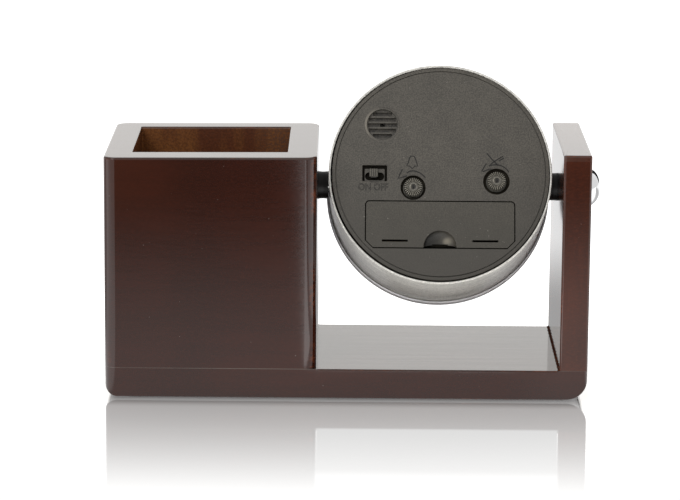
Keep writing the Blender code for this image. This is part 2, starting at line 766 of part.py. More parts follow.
def dowel_places():
    """The two dowels' places under the upright."""
    middle_x = -STAND_END_X + UPRIGHT_THICKNESS / 2
    return [Vector((middle_x, side * DOWEL_SPACING / 2)) for side in (-1, 1)]


def dowel_cutters(owner):
    """Holes for both dowels, deeper than the dowels at both ends."""
    low = BASE_TOP_Z - DOWEL_IN_BASE - DOWEL_END_ROOM
    high = BASE_TOP_Z - DOWEL_IN_BASE + DOWEL_LENGTH + DOWEL_END_ROOM
    radius = DOWEL_RADIUS + RUNNING_GAP
    places = dowel_places()
    return [cylinder(f"{owner}_dowel_hole_{number}", radius, low, high, place, guide=True)
            for number, place in enumerate(places, 1)]


def make_dowels():
    """Beech dowels that join the upright to the base."""
    low = BASE_TOP_Z - DOWEL_IN_BASE
    for number, place in enumerate(dowel_places(), 1):
        dowel = cylinder(f"upright_dowel_{number}", DOWEL_RADIUS, low, low + DOWEL_LENGTH, place, ARBOR_STEPS)
        finish(dowel, material(f"beech_{number}", (205, 170, 125), 0.6))


# Pivots. Each is built along Z, with level zero at the case's side, and then turned along X

def place_pivot(item, side):
    """Turn a piece made along Z so that it points outward from the clock's side, +1 for the pen box."""
    item.location = (PIVOT_X + side * CASE_RADIUS, 0, PIVOT_Z)
    item.rotation_euler = (0, side * TURN / 4, 0)
    return item


def wall_face_level(side):
    """Level of the wood's face that looks at the clock."""
    face_x = BOX_INNER_X if side > 0 else UPRIGHT_INNER_X
    return abs(face_x - PIVOT_X) - CASE_RADIUS


def head_level(side):
    """Level of the screw head's seat: in a recess of the pen box wall, or on the upright's outer face."""
    if side > 0:
        return wall_face_level(side) + BOX_INNER_WALL - HEAD_RECESS_DEPTH
    return wall_face_level(side) + UPRIGHT_THICKNESS


def inner_sag():
    """How far the case's curved inner wall falls away under the washer's edge."""
    return CASE_INNER_RADIUS - math.sqrt(CASE_INNER_RADIUS ** 2 - WASHER_RADIUS ** 2)


def washer_level():
    """Level of the washer's outer face inside the case."""
    return -CASE_WALL - inner_sag() - SEAT_GAP


def nut_level():
    """Level of the nut's outer face inside the case."""
    return washer_level() - WASHER_THICKNESS - SEAT_GAP


def tube(name, outer, inner, low, high, steps):
    """Tube about Z between two levels."""
    return revolve(name, [(outer, high), (outer, low), (inner, low), (inner, high)], steps, closed=True)


def make_pivot(side, name):
    """Bush, screw, washer and nut at one side of the clock."""
    bore = SCREW_RADIUS + SCREW_CLEARANCE
    bush_top = wall_face_level(side) - SEAT_GAP
    bush = tube(f"pivot_bush_{name}", BUSH_RADIUS, bore, SEAT_GAP, bush_top, SMALL_STEPS)
    finish(place_pivot(bush, side), material(f"bush_plastic_{name}", BLACK_PLASTIC, 0.45))
    screw = revolve(f"pivot_screw_{name}", screw_profile(side), SMALL_STEPS)
    finish(place_pivot(screw, side), material(f"pivot_steel_{name}", STEEL, 0.3, 1.0))
    top = washer_level()
    washer = tube(f"pivot_washer_{name}", WASHER_RADIUS, bore, top - WASHER_THICKNESS, top, SMALL_STEPS)
    finish(place_pivot(washer, side), material(f"washer_fibre_{name}", (120, 70, 50), 0.7))
    top = nut_level()
    nut = tube(f"pivot_nut_{name}", NUT_RADIUS, SCREW_RADIUS + RUNNING_GAP, top - NUT_THICKNESS, top, 6)
    carve(nut, place_pivot(cylinder(f"nut_bore_{name}", bore, top - NUT_THICKNESS - OVERRUN, top + OVERRUN,
                                    guide=True), side))
    finish(place_pivot(nut, side), material(f"nut_steel_{name}", STEEL, 0.35, 1.0))


def screw_profile(side):
    """Pan-head screw from the top of its head down to its point inside the nut."""
    seat = head_level(side) + SEAT_GAP
    top = seat + SCREW_HEAD_HEIGHT
    crown_share = 0.6
    end = nut_level() - NUT_THICKNESS - SCREW_POINT
    return [(0, top), (SCREW_HEAD_RADIUS * crown_share, top), (SCREW_HEAD_RADIUS, (seat + top) / 2),
            (SCREW_HEAD_RADIUS, seat), (SCREW_RADIUS, seat), (SCREW_RADIUS, end + SCREW_POINT / 2),
            (SCREW_RADIUS - SCREW_POINT / 2, end), (0, end)]


def make_dome():
    """Polished dome over the screw head on the upright's outer face."""
    seat = head_level(-1) + SEAT_GAP
    steps = 5
    outer = [(DOME_RADIUS * math.sin(TURN / 4 * step / steps),
              seat + DOME_RIM + (DOME_HEIGHT - DOME_RIM) * math.cos(TURN / 4 * step / steps))
             for step in range(steps + 1)]
    room_radius = SCREW_HEAD_RADIUS + DOME_WALL
    room_top = seat + SCREW_HEAD_HEIGHT + DOME_WALL
    inner = [(room_radius + DOME_WALL, seat), (room_radius, room_top), (0, room_top)]
    dome = revolve("chrome_dome", outer + [(DOME_RADIUS, seat)] + inner, DISC_STEPS)
    finish(place_pivot(dome, -1), material("chrome", (225, 225, 226), 0.05, 1.0))


def drill_stand(inner_wall, upright):
    """Screw holes through the pen box wall and the upright, and the head's recess in the pen box."""
    radius = SCREW_RADIUS + SCREW_CLEARANCE
    for side, wall in ((1, inner_wall), (-1, upright)):
        start = wall_face_level(side)
        thickness = BOX_INNER_WALL if side > 0 else UPRIGHT_THICKNESS
        hole = cylinder(wall.name + "_screw_hole", radius, start - OVERRUN,
                        start + thickness + OVERRUN, guide=True)
        carve(wall, place_pivot(hole, side))
    recess_radius = SCREW_HEAD_RADIUS + HEAD_RECESS_ROOM
    recess = cylinder("head_recess", recess_radius, head_level(1),
                      wall_face_level(1) + BOX_INNER_WALL + OVERRUN, guide=True)
    carve(inner_wall, place_pivot(recess, 1))


# Clock case

def make_case_drum(frame):
    """Brushed tube of the case, with a pivot hole at each side."""
    top = LENS_FRONT_Z
    small = CASE_RIM_ROUND
    profile = [(CASE_RADIUS, top), (CASE_RADIUS, REAR_Z + small), (CASE_RADIUS - small, REAR_Z),
               (CASE_INNER_RADIUS, REAR_Z), (CASE_INNER_RADIUS, top)]
    drum = revolve("case_drum", profile, RIM_STEPS, frame, closed=True)
    reach = CASE_RADIUS + OVERRUN
    hole = cylinder("pivot_holes", SCREW_RADIUS + SCREW_CLEARANCE, -reach, reach, parent=frame, guide=True)
    hole.rotation_euler = (0, TURN / 4, 0)
    carve(drum, hole)
    return finish(drum, material("brushed_case", (172, 170, 164), 0.35, 1.0))


def make_bezel(frame):
    """Front bezel: it wraps the tube's front end and its lip holds the lens."""
    outer = BEZEL_RADIUS
    pocket = CASE_RADIUS + SEAT_GAP
    inner = BEZEL_OPENING_RADIUS
    chamfer = BEZEL_OPENING_CHAMFER
    profile = [(inner + chamfer, FRONT_Z), (outer - BEZEL_ROUND, FRONT_Z), (outer, FRONT_Z - BEZEL_ROUND),
               (outer, BEZEL_REAR_Z), (pocket, BEZEL_REAR_Z), (pocket, LIP_REAR_Z), (inner, LIP_REAR_Z),
               (inner, FRONT_Z - chamfer)]
    bezel = revolve("front_bezel", profile, RIM_STEPS, frame, closed=True)
    return finish(bezel, material("bezel_metal", SILVER, 0.2, 1.0))


def make_lens(frame):
    """Flat clear lens."""
    lens = cylinder("lens", STACK_RADIUS, LENS_REAR_Z, LENS_FRONT_Z, steps=RIM_STEPS, parent=frame)
    return finish(lens, material("clear_lens", (240, 244, 244), 0.03, 0.0, 0.15))


def make_dial_ring(frame):
    """Sloping ring that holds the lens clear of the hands."""
    inner = STACK_RADIUS - DIAL_RING_WIDTH
    profile = [(STACK_RADIUS, RING_FRONT_Z), (STACK_RADIUS, RING_REAR_Z),
               (inner - DIAL_RING_SLOPE, RING_REAR_Z), (inner, RING_FRONT_Z)]
    ring = revolve("dial_ring", profile, RIM_STEPS, frame, closed=True)
    return finish(ring, material("dial_ring_paint", (205, 204, 200), 0.4))


def make_dial(frame):
    """Dial plate with a hole for the movement's centre bush."""
    hole = CENTRE_BUSH_RADIUS + SEAT_GAP
    profile = [(STACK_RADIUS, DIAL_FRONT_Z), (STACK_RADIUS, DIAL_REAR_Z),
               (hole, DIAL_REAR_Z), (hole, DIAL_FRONT_Z)]
    dial = revolve("dial", profile, RIM_STEPS, frame, closed=True)
    return finish(dial, material("dial_paint", (240, 239, 233), 0.5))


# Rear cover, the moulded housing

def make_rear_cover(frame):
    """Moulded cover: disc with skirt, grille, knob wells, switch window, battery bay and inner posts."""
    cover = make_cover_shell(frame)
    wells = (("alarm", ALARM_ARBOR, ALARM_WELL_RADIUS), ("time", TIME_ARBOR, TIME_WELL_RADIUS))
    add_grip_ribs(cover, frame)
    add_sounder_chamber(cover, frame)
    add_posts(cover, frame)
    add_battery_bay(cover, frame)
    for name, place, radius in wells:
        add_well_cup(cover, frame, name, place, radius)
    for name, place, radius in wells:
        cut_well(cover, frame, name, place, radius)
    cut_battery_bay(cover, frame)
    cut_grille(cover, frame)
    cut_switch_window(cover, frame)
    cut_nut_notches(cover, frame)
    return finish(cover, material("cover_plastic", COVER_PLASTIC, 0.6))


def make_cover_shell(frame):
    """Disc with its flange, the fine groove inside the flange, and the skirt that slides into the tube."""
    centre = Vector((COVER_SHIFT_X, COVER_SHIFT_Y))
    flange_z = COVER_Z + COVER_FLANGE_DROP
    panel_radius = COVER_RADIUS - COVER_FLANGE_WIDTH
    groove_radius = panel_radius - COVER_GROOVE_WIDTH
    groove_z = flange_z + COVER_GROOVE_DEPTH
    shell = cylinder("rear_cover", COVER_RADIUS, COVER_Z, COVER_INNER_Z, centre, RIM_STEPS, frame)
    clear_radius = COVER_RADIUS + OVERRUN
    clear_z = COVER_Z - OVERRUN
    flange_profile = [(clear_radius, flange_z), (clear_radius, clear_z), (groove_radius, clear_z),
                      (groove_radius, groove_z), (panel_radius, groove_z), (panel_radius, flange_z)]
    flange = revolve("cover_flange", flange_profile, RIM_STEPS, frame, True, True)
    inner = SKIRT_RADIUS - SKIRT_WALL
    low = COVER_INNER_Z - COVER_PLATE / 2
    skirt_profile = [(SKIRT_RADIUS, MOVEMENT_FRONT_Z), (SKIRT_RADIUS, low), (inner, low),
                     (inner, MOVEMENT_FRONT_Z)]
    skirt = revolve("cover_skirt", skirt_profile, RIM_STEPS, frame, True, True)
    for turned in (flange, skirt):
        turned.location = (centre.x, centre.y, 0)
    return carve(join(shell, skirt), flange)


def add_grip_ribs(cover, frame):
    """Ribs along the skirt that grip the tube."""
    start = SKIRT_RADIUS - SKIRT_WALL / 2
    end = CASE_INNER_RADIUS - SEAT_GAP
    for number in range(GRIP_RIB_COUNT):
        angle = TURN * (number + 0.5) / GRIP_RIB_COUNT
        rib = box(f"grip_rib_{number}", (start, -GRIP_RIB_WIDTH / 2, COVER_INNER_Z + COVER_PLATE),
                  (end, GRIP_RIB_WIDTH / 2, MOVEMENT_FRONT_Z - COVER_PLATE), frame, guide=True)
        middle = polar((start + end) / 2, angle)
        rib.location.x = middle.x
        rib.location.y = middle.y
        rib.rotation_euler = (0, 0, angle)
        join(cover, rib)


def add_sounder_chamber(cover, frame):
    """Ring wall that holds the sounder behind the grille."""
    place = Vector((GRILLE_X, GRILLE_Y))
    inner = SOUNDER_RADIUS + SEAT_GAP
    low = COVER_INNER_Z - COVER_PLATE / 2
    high = COVER_INNER_Z + CHAMBER_HEIGHT
    wall = cylinder("chamber_wall", inner + CHAMBER_WALL, low, high, place, parent=frame, guide=True)
    hollow = cylinder("chamber_hollow", inner, COVER_INNER_Z, high + OVERRUN, place,
                      parent=frame, guide=True)
    join(cover, wall)
    carve(cover, hollow)


def lug_places():
    """Places of the two screws that hold the movement to the cover's posts."""
    return [Vector((MOVEMENT_RIGHT + LUG_OFFSET, LUG_Y)), Vector((-MOVEMENT_LEFT - LUG_OFFSET, LUG_Y))]


def add_posts(cover, frame):
    """Tall posts for the movement's screws, and two pegs under the circuit board."""
    low = COVER_INNER_Z - COVER_PLATE / 2
    top = PLATE_REAR_Z - SEAT_GAP
    for number, place in enumerate(lug_places()):
        post = cylinder(f"post_{number}", POST_RADIUS, low, top, place, ARBOR_STEPS, frame, True)
        hole = cylinder(f"post_hole_{number}", CASE_SCREW_RADIUS + RUNNING_GAP,
                        top - CASE_SCREW_LENGTH, top + OVERRUN, place, ARBOR_STEPS, frame, True)
        join(cover, post)
        carve(cover, hole)
    for number, place in enumerate(board_peg_places()):
        peg = cylinder(f"peg_{number}", BOARD_PEG_RADIUS, low, board_rear_level() - SEAT_GAP, place,
                       ARBOR_STEPS, frame, True)
        join(cover, peg)


def bay_half_length():
    """Half of the battery bay's inner length: battery, contact, spring and their gaps."""
    gap_count = 4
    return (BATTERY_LENGTH + CONTACT_THICKNESS + SPRING_LENGTH + gap_count * SEAT_GAP) / 2


def battery_level():
    """Level of the battery's axis, just inside the closed door."""
    return COVER_Z + DOOR_THICKNESS + SEAT_GAP + BATTERY_RADIUS


def ledge_level():
    """Level of the ledge that the door lies on."""
    return COVER_Z + DOOR_THICKNESS + SEAT_GAP


def bay_reach():
    """Half width of the battery bay, and the level of its floor."""
    return BATTERY_RADIUS + BAY_SIDE_ROOM, battery_level() + BATTERY_RADIUS + SEAT_GAP


def add_battery_bay(cover, frame):
    """Walls of the battery tub, and the frame that the door lies in."""
    half_length = bay_half_length() + BAY_WALL
    half_width, floor_z = bay_reach()
    low = (-half_length, BAY_Y - half_width - BAY_WALL, ledge_level())
    high = (half_length, BAY_Y + half_width + BAY_WALL, floor_z + BAY_WALL)
    rim = slab("door_frame", [door_outline(DOOR_GAP + DOOR_FRAME)], COVER_INNER_Z - COVER_PLATE / 2,
               ledge_level() + DOOR_LEDGE, parent=frame, guide=True)
    join(cover, rim, box("bay_tub", low, high, frame, True))


def cut_battery_bay(cover, frame):
    """Room for the door, for the battery behind it and for the door's tabs."""
    half_length = bay_half_length()
    half_width, floor_z = bay_reach()
    recess = slab("door_recess", [door_outline(DOOR_GAP)], COVER_Z - OVERRUN, ledge_level(),
                  parent=frame, guide=True)
    hollow = box("bay_hollow", (-half_length, BAY_Y - half_width, ledge_level() - OVERRUN),
                 (half_length, BAY_Y + half_width, floor_z), frame, True)
    carve(cover, recess, hollow)
    for side in (-1, 1):
        carve(cover, tab_pocket(side, frame))


def door_top():
    """The door's upper edge, where its tabs hold it."""
    return BAY_Y + DOOR_WIDTH / 2


def tab_pocket(side, frame):
    """Pocket behind the cover's face for one of the door's tabs to turn in."""
    inner_z = COVER_Z + DOOR_THICKNESS
    swing = math.hypot(TAB_REACH, DOOR_THICKNESS + TAB_THICKNESS)
    half_width = TAB_WIDTH / 2 + TAB_ROOM
    low = (side * TAB_X - half_width, door_top() - swing - TAB_ROOM, inner_z - SEAT_GAP)
    high = (side * TAB_X + half_width, door_top() + TAB_REACH + TAB_ROOM, COVER_Z + swing + TAB_ROOM)
    return box(f"tab_pocket_{side}", low, high, frame, True)


def add_well_cup(cover, frame, name, place, radius):
    """Cup that a setting knob stands in."""
    high = COVER_Z + WELL_DEPTH + WELL_FLOOR
    cup = cylinder(f"{name}_well_cup", radius + WELL_WALL, COVER_INNER_Z - COVER_PLATE / 2, high, place,
                   parent=frame, guide=True)
    join(cover, cup)


def cut_well(cover, frame, name, place, radius):
    """Well in its cup, with a hole for the knob's arbor."""
    floor = COVER_Z + WELL_DEPTH
    well = cylinder(f"{name}_well", radius, COVER_Z - OVERRUN, floor, place, DISC_STEPS, frame, True)
    hole = cylinder(f"{name}_well_hole", KNOB_ARBOR_RADIUS + SEAT_GAP, COVER_Z, floor + WELL_FLOOR + OVERRUN,
                    place, ARBOR_STEPS, frame, True)
    carve(cover, well, hole)


def cut_grille(cover, frame):
    """Round recess crossed by open slots."""
    place = Vector((GRILLE_X, GRILLE_Y))
    dish = cylinder("grille_dish", GRILLE_RADIUS, COVER_Z - OVERRUN, COVER_Z + GRILLE_DEPTH, place,
                    parent=frame, guide=True)
    carve(cover, dish)
    middle_slot = (GRILLE_SLOT_COUNT - 1) / 2
    reach = GRILLE_RADIUS - GRILLE_MARGIN
    for number in range(GRILLE_SLOT_COUNT):
        rise = (number - middle_slot) * GRILLE_PITCH
        half_chord = math.sqrt(reach ** 2 - rise ** 2)
        slot = box(f"grille_slot_{number}",
                   (GRILLE_X - half_chord, GRILLE_Y + rise - GRILLE_SLOT / 2, COVER_Z),
                   (GRILLE_X + half_chord, GRILLE_Y + rise + GRILLE_SLOT / 2, COVER_INNER_Z + GRILLE_DEPTH),
                   frame, True)
        carve(cover, slot)


def cut_switch_window(cover, frame):
    """Rectangular window with a long round-ended slot in its floor."""
    half = Vector((WINDOW_LENGTH / 2, WINDOW_WIDTH / 2))
    window = box("switch_window",
                 (SWITCH_X - half.x, SWITCH_Y - half.y, COVER_Z - OVERRUN),
                 (SWITCH_X + half.x, SWITCH_Y + half.y, COVER_Z + WINDOW_DEPTH), frame, True)
    outline = rounded_rectangle(SLOT_LENGTH, SLOT_WIDTH, SLOT_WIDTH / 2)
    slot = slab("switch_slot", [outline], COVER_Z, COVER_INNER_Z + OVERRUN,
                Vector((SWITCH_X, SWITCH_Y - SLOT_DROP)), frame, True)
    carve(cover, window, slot)


def cut_nut_notches(cover, frame):
    """Notches in the skirt that clear the pivot nuts while the clock turns."""
    reach = NUT_RADIUS + NUT_NOTCH_ROOM
    depth = CASE_WALL + inner_sag() + WASHER_THICKNESS + NUT_THICKNESS + SCREW_POINT + 2 * SEAT_GAP
    start = CASE_RADIUS - depth - NUT_NOTCH_ROOM
    for side in (-1, 1):
        near, far = sorted((side * start, side * (CASE_RADIUS + OVERRUN)))
        high = MOVEMENT_FRONT_Z + OVERRUN
        notch = box(f"nut_notch_{side}", (near, -reach, -reach), (far, reach, high), frame, True)
        carve(cover, notch)


# Battery, contacts and door

def make_battery(frame):
    """AA cell, positive end toward +X, with its spring and its contact plate."""
    half_length = bay_half_length()
    nub_x = half_length - SEAT_GAP - CONTACT_THICKNESS - SEAT_GAP
    shoulder = -BATTERY_NUB_LENGTH
    end = -BATTERY_LENGTH
    profile = [(0, 0), (BATTERY_NUB_RADIUS, 0), (BATTERY_NUB_RADIUS, shoulder),
               (BATTERY_RADIUS - BATTERY_EDGE, shoulder), (BATTERY_RADIUS, shoulder - BATTERY_EDGE),
               (BATTERY_RADIUS, end + BATTERY_EDGE), (BATTERY_RADIUS - BATTERY_EDGE, end), (0, end)]
    battery = revolve("battery", profile, SMALL_STEPS, frame)
    battery.location = (nub_x, BAY_Y, battery_level())
    battery.rotation_euler = (0, TURN / 4, 0)
    finish(battery, material("battery_sleeve", (60, 62, 66), 0.35))
    face_x = half_length - SEAT_GAP
    reach = Vector((CONTACT_WIDTH / 2, CONTACT_HEIGHT / 2))
    low = (face_x - CONTACT_THICKNESS, BAY_Y - reach.x, battery_level() - reach.y)
    high = (face_x, BAY_Y + reach.x, battery_level() + reach.y)
    finish(box("positive_contact", low, high, frame), material("contact_steel", (200, 198, 190), 0.25, 1.0))
    make_spring(frame, -half_length + SEAT_GAP)


def make_spring(frame, base_x):
    """Conical contact spring wound on a helix along X."""
    count = SPRING_CURLS * SPRING_POINTS
    length = SPRING_LENGTH - 2 * SPRING_WIRE_RADIUS
    points = []
    for number in range(count + 1):
        share = number / count
        radius = SPRING_BASE_RADIUS + (SPRING_TIP_RADIUS - SPRING_BASE_RADIUS) * share
        turn = polar(radius, TURN * number / SPRING_POINTS)
        points.append(Vector((SPRING_WIRE_RADIUS + length * share, turn.x, turn.y)))
    curve = bpy.data.curves.new("negative_spring", "CURVE")
    curve.dimensions = "3D"
    curve.bevel_depth = SPRING_WIRE_RADIUS
    curve.bevel_resolution = 1
    curve.use_fill_caps = True
    spline = curve.splines.new("POLY")
    spline.points.add(len(points) - 1)
    for point, place in zip(spline.points, points):
        point.co = (*place, 1)
    spring = mesh_from_curve("negative_spring", curve, frame)
    spring.location = (base_x, BAY_Y, battery_level())
    finish(spring, material("spring_steel", STEEL, 0.25, 1.0))


def make_door(frame):
    """Battery door with thumb scoop, two latch legs beside their slots and two tabs at its upper edge.

    Its origin is on the line that it swings about, along the upper edge of its outer face.
    """
    hinge = Vector((0, door_top()))
    outline = [point - hinge for point in door_outline(0)]
    inner_z = COVER_Z + DOOR_THICKNESS
    door = slab("battery_door", [outline], 0, DOOR_THICKNESS, hinge, frame)
    door.location.z = COVER_Z
    bottom = BAY_Y - DOOR_WIDTH / 2
    carve(door, scoop_cutter(bottom, frame))
    for side in (-1, 1):
        latch_y = bottom + LATCH_FROM_EDGE
        latch_left = side * LATCH_X - LATCH_LENGTH / 2
        latch_right = side * LATCH_X + LATCH_LENGTH / 2
        slot_top = latch_y + LATCH_SLOT / 2
        slot = box(f"latch_slot_{side}", (latch_left, latch_y - LATCH_SLOT / 2, COVER_Z - OVERRUN),
                   (latch_right, slot_top, inner_z + OVERRUN), frame, True)
        leg = box(f"latch_leg_{side}", (latch_left, slot_top, inner_z - DOOR_THICKNESS / 2),
                  (latch_right, slot_top + LATCH_LEG_WALL, inner_z + LATCH_LEG), frame, True)
        tab_middle = side * TAB_X
        tab = box(f"door_tab_{side}",
                  (tab_middle - TAB_WIDTH / 2, door_top() - 2 * TAB_REACH, inner_z - SEAT_GAP),
                  (tab_middle + TAB_WIDTH / 2, door_top() + TAB_REACH, inner_z + TAB_THICKNESS), frame, True)
        trim = box(f"tab_trim_{side}",
                   (side * TAB_X - TAB_WIDTH, door_top(), COVER_Z - OVERRUN),
                   (side * TAB_X + TAB_WIDTH, door_top() + 2 * TAB_REACH, inner_z + SEAT_GAP), frame, True)
        carve(door, slot)
        join(door, leg, tab)
        carve(door, trim)
    return finish(door, material("door_plastic", COVER_PLASTIC, 0.6))


def scoop_cutter(bottom, frame):
    """Shallow bowl whose upper half stays as the thumb scoop at the door's lower edge."""
    steps = 3
    shares = [step / steps for step in range(steps + 1)]
    bowl = [(SCOOP_RADIUS * share, COVER_Z + SCOOP_DEPTH * (1 - share ** 2)) for share in shares]
    above = COVER_Z - OVERRUN
    scoop = revolve("thumb_scoop", bowl + [(SCOOP_RADIUS, above), (0, above)], DISC_STEPS, frame, True)
    scoop.location = (0, bottom, 0)
    return scoop


# Switch, circuit board and sounder

def board_rear_level():
    """Level of the circuit board's face that carries the switch."""
    return COVER_INNER_Z + SWITCH_GAP + SWITCH_HEIGHT + SEAT_GAP


def board_middle():
    """Middle of the circuit board, under the switch."""
    return Vector((SWITCH_X, SWITCH_Y - WINDOW_WIDTH / 4))


def board_peg_places():
    """Two corners of the circuit board, beside the switch."""
    inset = BOARD_PEG_RADIUS
    reach = Vector((BOARD_LENGTH / 2 - inset, BOARD_WIDTH / 2 - inset))
    return [board_middle() + Vector((-reach.x, -reach.y)), board_middle() + Vector((reach.x, -reach.y))]


def make_switch_set(frame):
    """Circuit board with its crystal, and the slide switch that carries the slider."""
    middle = board_middle()
    rear = board_rear_level()
    half = Vector((BOARD_LENGTH / 2, BOARD_WIDTH / 2))
    board = box("circuit_board", (middle.x - half.x, middle.y - half.y, rear),
                (middle.x + half.x, middle.y + half.y, rear + BOARD_THICKNESS), frame)
    finish(board, material("board_laminate", (38, 92, 60), 0.5))
    crystal = cylinder("quartz_crystal", CRYSTAL_RADIUS, -CRYSTAL_LENGTH / 2, CRYSTAL_LENGTH / 2,
                       steps=ARBOR_STEPS, parent=frame)
    crystal.location = (middle.x, middle.y, rear + BOARD_THICKNESS + SEAT_GAP + CRYSTAL_RADIUS)
    crystal.rotation_euler = (0, TURN / 4, 0)
    finish(crystal, material("crystal_can", STEEL, 0.25, 1.0))
    low_z = COVER_INNER_Z + SWITCH_GAP
    switch = box("alarm_switch", (SWITCH_X - SWITCH_LENGTH / 2, SWITCH_Y - SWITCH_WIDTH / 2, low_z),
                 (SWITCH_X + SWITCH_LENGTH / 2, SWITCH_Y + SWITCH_WIDTH / 2, low_z + SWITCH_HEIGHT), frame)
    room = SEAT_GAP
    travel_middle = SWITCH_X + SLIDER_OFFSET - SLIDER_TRAVEL / 2
    half_track = (STEM_LENGTH + SLIDER_TRAVEL) / 2 + room
    half_width = STEM_WIDTH / 2 + room
    stem_y = slider_stem_y()
    track = box("switch_track",
                (travel_middle - half_track, stem_y - half_width, low_z - OVERRUN),
                (travel_middle + half_track, stem_y + half_width, low_z + STEM_DEPTH_IN_SWITCH + room),
                frame, True)
    carve(switch, track)
    finish(switch, material("switch_steel", STEEL, 0.4, 1.0))


def slider_stem_y():
    """Height of the slider's stem, at the middle of the cover's slot."""
    return SWITCH_Y - SLOT_DROP


def make_slider(frame):
    """Ribbed slider. It moves along X in the cover's slot."""
    cap_low = COVER_Z + WINDOW_DEPTH - SEAT_GAP - SLIDER_PLATE
    middle_y = SWITCH_Y + WINDOW_WIDTH / 2 - SLIDER_WIDTH / 2 - SLIDER_RISE
    half = Vector((SLIDER_LENGTH / 2, SLIDER_WIDTH / 2))
    middle_x = SWITCH_X + SLIDER_OFFSET
    slider = box("switch_slider", (middle_x - half.x, middle_y - half.y, cap_low),
                 (middle_x + half.x, middle_y + half.y, cap_low + SLIDER_PLATE), frame)
    pitch = SLIDER_LENGTH / SLIDER_RIB_COUNT
    rib_width = pitch * SLIDER_RIB_SHARE
    for number in range(SLIDER_RIB_COUNT):
        rib_x = middle_x - half.x + pitch * (number + 0.5)
        rib = box(f"slider_rib_{number}",
                  (rib_x - rib_width / 2, middle_y - half.y, cap_low - SLIDER_RIB_HEIGHT),
                  (rib_x + rib_width / 2, middle_y + half.y, cap_low + SLIDER_PLATE / 2), frame, True)
        join(slider, rib)
    stem_y = slider_stem_y()
    stem_end = COVER_INNER_Z + SWITCH_GAP + STEM_DEPTH_IN_SWITCH
    stem = box("slider_stem",
               (middle_x - STEM_LENGTH / 2, stem_y - STEM_WIDTH / 2, cap_low + SLIDER_PLATE / 2),
               (middle_x + STEM_LENGTH / 2, stem_y + STEM_WIDTH / 2, stem_end), frame, True)
    join(slider, stem)
    return finish(slider, material("slider_plastic", COVER_PLASTIC, 0.55))


def make_sounder(frame):
    """Round sounder behind the grille, with its sound hole."""
    low = COVER_INNER_Z + SEAT_GAP
    hole_radius = GRILLE_SLOT
    profile = [(SOUNDER_RADIUS, low + SOUNDER_HEIGHT), (SOUNDER_RADIUS, low), (hole_radius, low),
               (hole_radius, low + SOUNDER_HEIGHT / 2), (0, low + SOUNDER_HEIGHT / 2)]
    sounder = revolve("sounder", [(0, low + SOUNDER_HEIGHT)] + profile, SMALL_STEPS, frame)
    sounder.location = (GRILLE_X, GRILLE_Y, 0)
    return finish(sounder, material("sounder_plastic", BLACK_PLASTIC, 0.5))


# Movement case and plates

def make_movement_case(frame):
    """Open tub behind the dial: front plate, side walls, centre bush, motion stud and screw lugs."""
    case = box("movement_case", (-MOVEMENT_LEFT, -MOVEMENT_BOTTOM, REAR_PLATE_Z + SEAT_GAP),
               (MOVEMENT_RIGHT, MOVEMENT_TOP, MOVEMENT_FRONT_Z), frame)
    wall = MOVEMENT_WALL
    hollow = box("movement_hollow", (-MOVEMENT_LEFT + wall, -MOVEMENT_BOTTOM + wall, REAR_PLATE_Z - OVERRUN),
                 (MOVEMENT_RIGHT - wall, MOVEMENT_TOP - wall, PLATE_REAR_Z), frame, True)
    carve(case, hollow)
    join_lugs(case, frame)
    bush_low = PLATE_REAR_Z + MOVEMENT_PLATE / 2
    bush_high = MOVEMENT_FRONT_Z + CENTRE_BUSH_LENGTH
    join(case, cylinder("centre_bush", CENTRE_BUSH_RADIUS, bush_low, bush_high, parent=frame, guide=True))
    carve(case, cylinder("centre_bore", CENTRE_BUSH_BORE, PLATE_REAR_Z - OVERRUN, bush_high + OVERRUN,
                         parent=frame, guide=True))
    stud_rear = MOTION_LAYER_Z - MOTION_THICKNESS
    join(case, cylinder("motion_stud", KNOB_ARBOR_RADIUS, stud_rear, PLATE_REAR_Z + MOVEMENT_PLATE / 2,
                        MOTION_ARBOR, ARBOR_STEPS, frame, True))
    for name, place in (("alarm", ALARM_ARBOR), ("time", TIME_ARBOR)):
        carve(case, cylinder(f"{name}_front_pivot", KNOB_ARBOR_RADIUS + RUNNING_GAP, PLATE_REAR_Z - OVERRUN,
                             PLATE_REAR_Z + PIVOT_DEPTH + RUNNING_GAP, place, ARBOR_STEPS, frame, True))
    return finish(case, material("movement_plastic", WHITE_PLASTIC, 0.5))


def join_lugs(case, frame):
    """Screw lugs at the movement's two sides."""
    for number, place in enumerate(lug_places()):
        lug = cylinder(f"lug_{number}", LUG_RADIUS, PLATE_REAR_Z, MOVEMENT_FRONT_Z, place,
                       parent=frame, guide=True)
        inward = math.copysign(LUG_OFFSET, place.x)
        near, far = sorted((place.x, place.x - inward - math.copysign(MOVEMENT_WALL / 2, place.x)))
        web = box(f"lug_web_{number}", (near, place.y - LUG_RADIUS, PLATE_REAR_Z),
                  (far, place.y + LUG_RADIUS, MOVEMENT_FRONT_Z), frame, True)
        sink = MOVEMENT_FRONT_Z - CASE_SCREW_HEAD_HEIGHT
        seat = cylinder(f"lug_sink_{number}", CASE_SCREW_HEAD_RADIUS + RUNNING_GAP, sink,
                        MOVEMENT_FRONT_Z + OVERRUN, place, parent=frame, guide=True)
        hole = cylinder(f"lug_hole_{number}", CASE_SCREW_RADIUS + RUNNING_GAP, PLATE_REAR_Z - OVERRUN,
                        MOVEMENT_FRONT_Z + OVERRUN, place, ARBOR_STEPS, frame, True)
        join(case, lug, web)
        carve(case, seat, hole)


